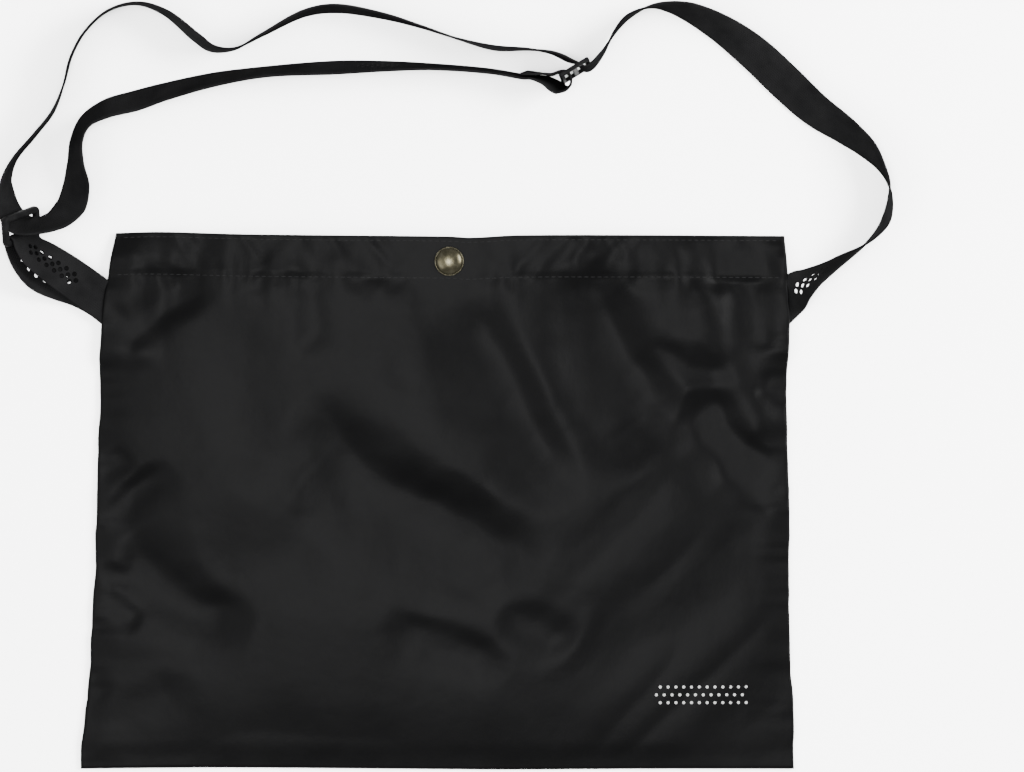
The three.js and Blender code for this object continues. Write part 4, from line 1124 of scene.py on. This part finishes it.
def cloth_material(name, printed):
    s = Shader(name)
    place = s.place()
    parts = s.node("ShaderNodeSeparateXYZ", {"Vector": place})
    x, y = parts.outputs["X"], parts.outputs["Y"]
    weave = s.math("MULTIPLY", s.wave(x, 0.8 * MM), s.wave(y, 0.7 * MM))
    grain = s.noise(place, 900.0, 2.0)
    worn = s.noise(place, 26.0, 4.0, 0.6)
    color = s.ramp(worn, CLOTH_TONES)
    rough = s.between(worn, 0.36, 0.44)
    if printed:
        mask = print_mask(s, x, y)
        chips = s.math("GREATER_THAN", s.noise(place, 1500.0, 2.0), 0.36)
        mask = s.math("MULTIPLY", mask, chips)
        inputs = {"Factor": mask, "A": color, "B": DOT_COLOR}
        blend = s.node("ShaderNodeMix", data_type="RGBA")
        for key, value in inputs.items():
            s.put(value, next(i for i in blend.inputs if i.name == key and i.enabled))
        color = next(o for o in blend.outputs if o.enabled)
    soft = s.bump(s.noise(place, 140.0, 4.0, 0.55), 0.35 * MM, 0.35)
    fine = s.bump(s.math("ADD", s.math("MULTIPLY", weave, 0.5), grain), 0.06 * MM, 0.35, soft)
    return s.finish(Base_Color=color, Roughness=rough, Normal=fine, Specular_IOR_Level=0.014,
                    Sheen_Weight=0.004, Sheen_Roughness=0.35, Sheen_Tint=(0.8, 0.83, 0.9, 1))


def webbing_material(name):
    s = Shader(name)
    chart = s.node("ShaderNodeUVMap", uv_map="web").outputs["UV"]
    parts = s.node("ShaderNodeSeparateXYZ", {"Vector": chart})
    u, v = parts.outputs["X"], parts.outputs["Y"]
    yarn = s.math("ABSOLUTE", s.wave(v, 2.2 * MM))
    lean = s.math("MULTIPLY", s.math("PINGPONG", v, 1.1 * MM), 0.6)
    rib = s.wave(s.math("ADD", u, lean), 1.25 * MM)
    place = s.place()
    fuzz = s.noise(place, 2200.0, 2.0)
    worn = s.noise(place, 60.0, 4.0, 0.6)
    color = s.ramp(worn, WEB_TONES)
    height = s.math("ADD", s.math("MULTIPLY", yarn, 0.6), s.math("MULTIPLY", rib, 0.4))
    normal = s.bump(s.math("ADD", height, s.math("MULTIPLY", fuzz, 0.4)), 0.14 * MM, 0.7)
    return s.finish(Base_Color=color, Roughness=s.between(worn, 0.75, 0.85), Normal=normal,
                    Specular_IOR_Level=0.0)


def thread_material(name):
    s = Shader(name)
    place = s.place()
    twist = s.noise(place, 2600.0, 2.0)
    color = s.ramp(twist, THREAD_TONES)
    return s.finish(Base_Color=color, Roughness=s.between(twist, 0.5, 0.65),
                    Normal=s.bump(twist, 0.05 * MM, 0.6), Specular_IOR_Level=0.03, Sheen_Weight=0.004)


def plastic_material(name):
    s = Shader(name)
    place = s.place()
    grain = s.noise(place, 1400.0, 3.0)
    rubbed = s.noise(place, 160.0, 4.0, 0.6)
    color = s.ramp(rubbed, PLASTIC_TONES)
    return s.finish(Base_Color=color, Roughness=s.between(rubbed, 0.4, 0.55),
                    Normal=s.bump(grain, 0.03 * MM, 0.5), Specular_IOR_Level=0.01)


def metal_material(name):
    s = Shader(name)
    place = s.place()
    patina = s.noise(place, 330.0, 5.0, 0.65)
    scratch = s.noise(place, 2400.0, 3.0, 0.7)
    color = s.ramp(patina, METAL_TONES)
    rough = s.between(s.math("MULTIPLY", s.math("ADD", patina, scratch), 0.5), 0.18, 0.36)
    return s.finish(Base_Color=color, Metallic=1.0, Roughness=rough, Normal=s.bump(scratch, 0.02 * MM, 0.5))


def floor_material():
    s = Shader("paper")
    place = s.place()
    tone = s.noise(place, 3.0, 2.0)
    color = s.ramp(tone, FLOOR_TONES)
    return s.finish(Base_Color=color, Roughness=s.between(tone, 0.85, 0.95), Specular_IOR_Level=0.1)


def settle(piece, node, material):
    piece.data.materials.clear()
    piece.data.materials.append(material)
    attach(piece, "root")
    if node:
        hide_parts(node)
    return piece


def area_light(name, place, side, power):
    data = bpy.data.lights.new(name, "AREA")
    data.shape = "RECTANGLE"
    data.size = data.size_y = side
    data.energy = power
    lamp = link(bpy.data.objects.new(name, data))
    lamp.location = place
    lamp.rotation_euler = (Vector(LIGHT_TARGET) - Vector(place)).to_track_quat("-Z", "Y").to_euler()


def studio():
    bpy.ops.mesh.primitive_plane_add(size=6, location=(0, 0, -0.02 * MM))
    floor = bpy.context.object
    floor.name = "floor"
    floor.data.materials.append(floor_material())
    world = bpy.data.worlds.new("studio")
    bpy.context.scene.world = world
    world.use_nodes = True
    background = world.node_tree.nodes["Background"]
    background.inputs["Color"].default_value = (1, 1, 1, 1)
    background.inputs["Strength"].default_value = WORLD_STRENGTH
    for light in LIGHTS:
        area_light(*light)


def camera():
    data = bpy.data.cameras.new("camera")
    data.sensor_fit = "HORIZONTAL"
    data.sensor_width = SENSOR
    data.lens = SENSOR * CAMERA_HEIGHT / FRAME_WIDTH
    data.clip_end = 20
    eye = link(bpy.data.objects.new("camera", data))
    eye.location = (*VIEW_MIDDLE, CAMERA_HEIGHT)
    bpy.context.scene.camera = eye


camera()
studio()

cloth = cloth_material("nylon", False)
webbing_black = webbing_material("webbing")
plastic = plastic_material("moulded")
metal = metal_material("antique_metal")
thread = thread_material("thread")

front = settle(front_panel(), "front_panel", cloth_material("printed_nylon", True))
back = settle(back_panel(), "back_panel", cloth)
hem_thread = settle(hem_stitches(), None, thread)

strap_stations = tucked(stations_of(strap_rows(), WEB_STEP), right_seam, 1)
strap_end = strap_stations[-1]["travelled"]
tab_stations = stations_of(tab_rows(), WEB_STEP)
tab_end = tab_stations[-1]["travelled"]
tab_stations = tucked(tucked(tab_stations, left_seam, -1)[::-1], left_seam, -1)[::-1]
settle(webbing("webbing_strap", strap_stations, STRAP_HOLES, strap_end), "strap", webbing_black)
settle(webbing("webbing_tab", tab_stations, TAB_HOLES, tab_end), "left_tab", webbing_black)
settle(ring(), "ring", plastic)
settle(slider(), "slider", plastic)
settle(snap_cap(), "snap_cap", metal)
settle(snap_stud(), "snap_stud", metal)

sewn_at = [strap_end - row for row in SEWN_ROWS]
sewn = web_stitches(strap_stations, sewn_at, -1) + web_stitches(strap_stations, sewn_at, 1)
settle(stitches("strap_thread", sewn, THREAD), None, thread)
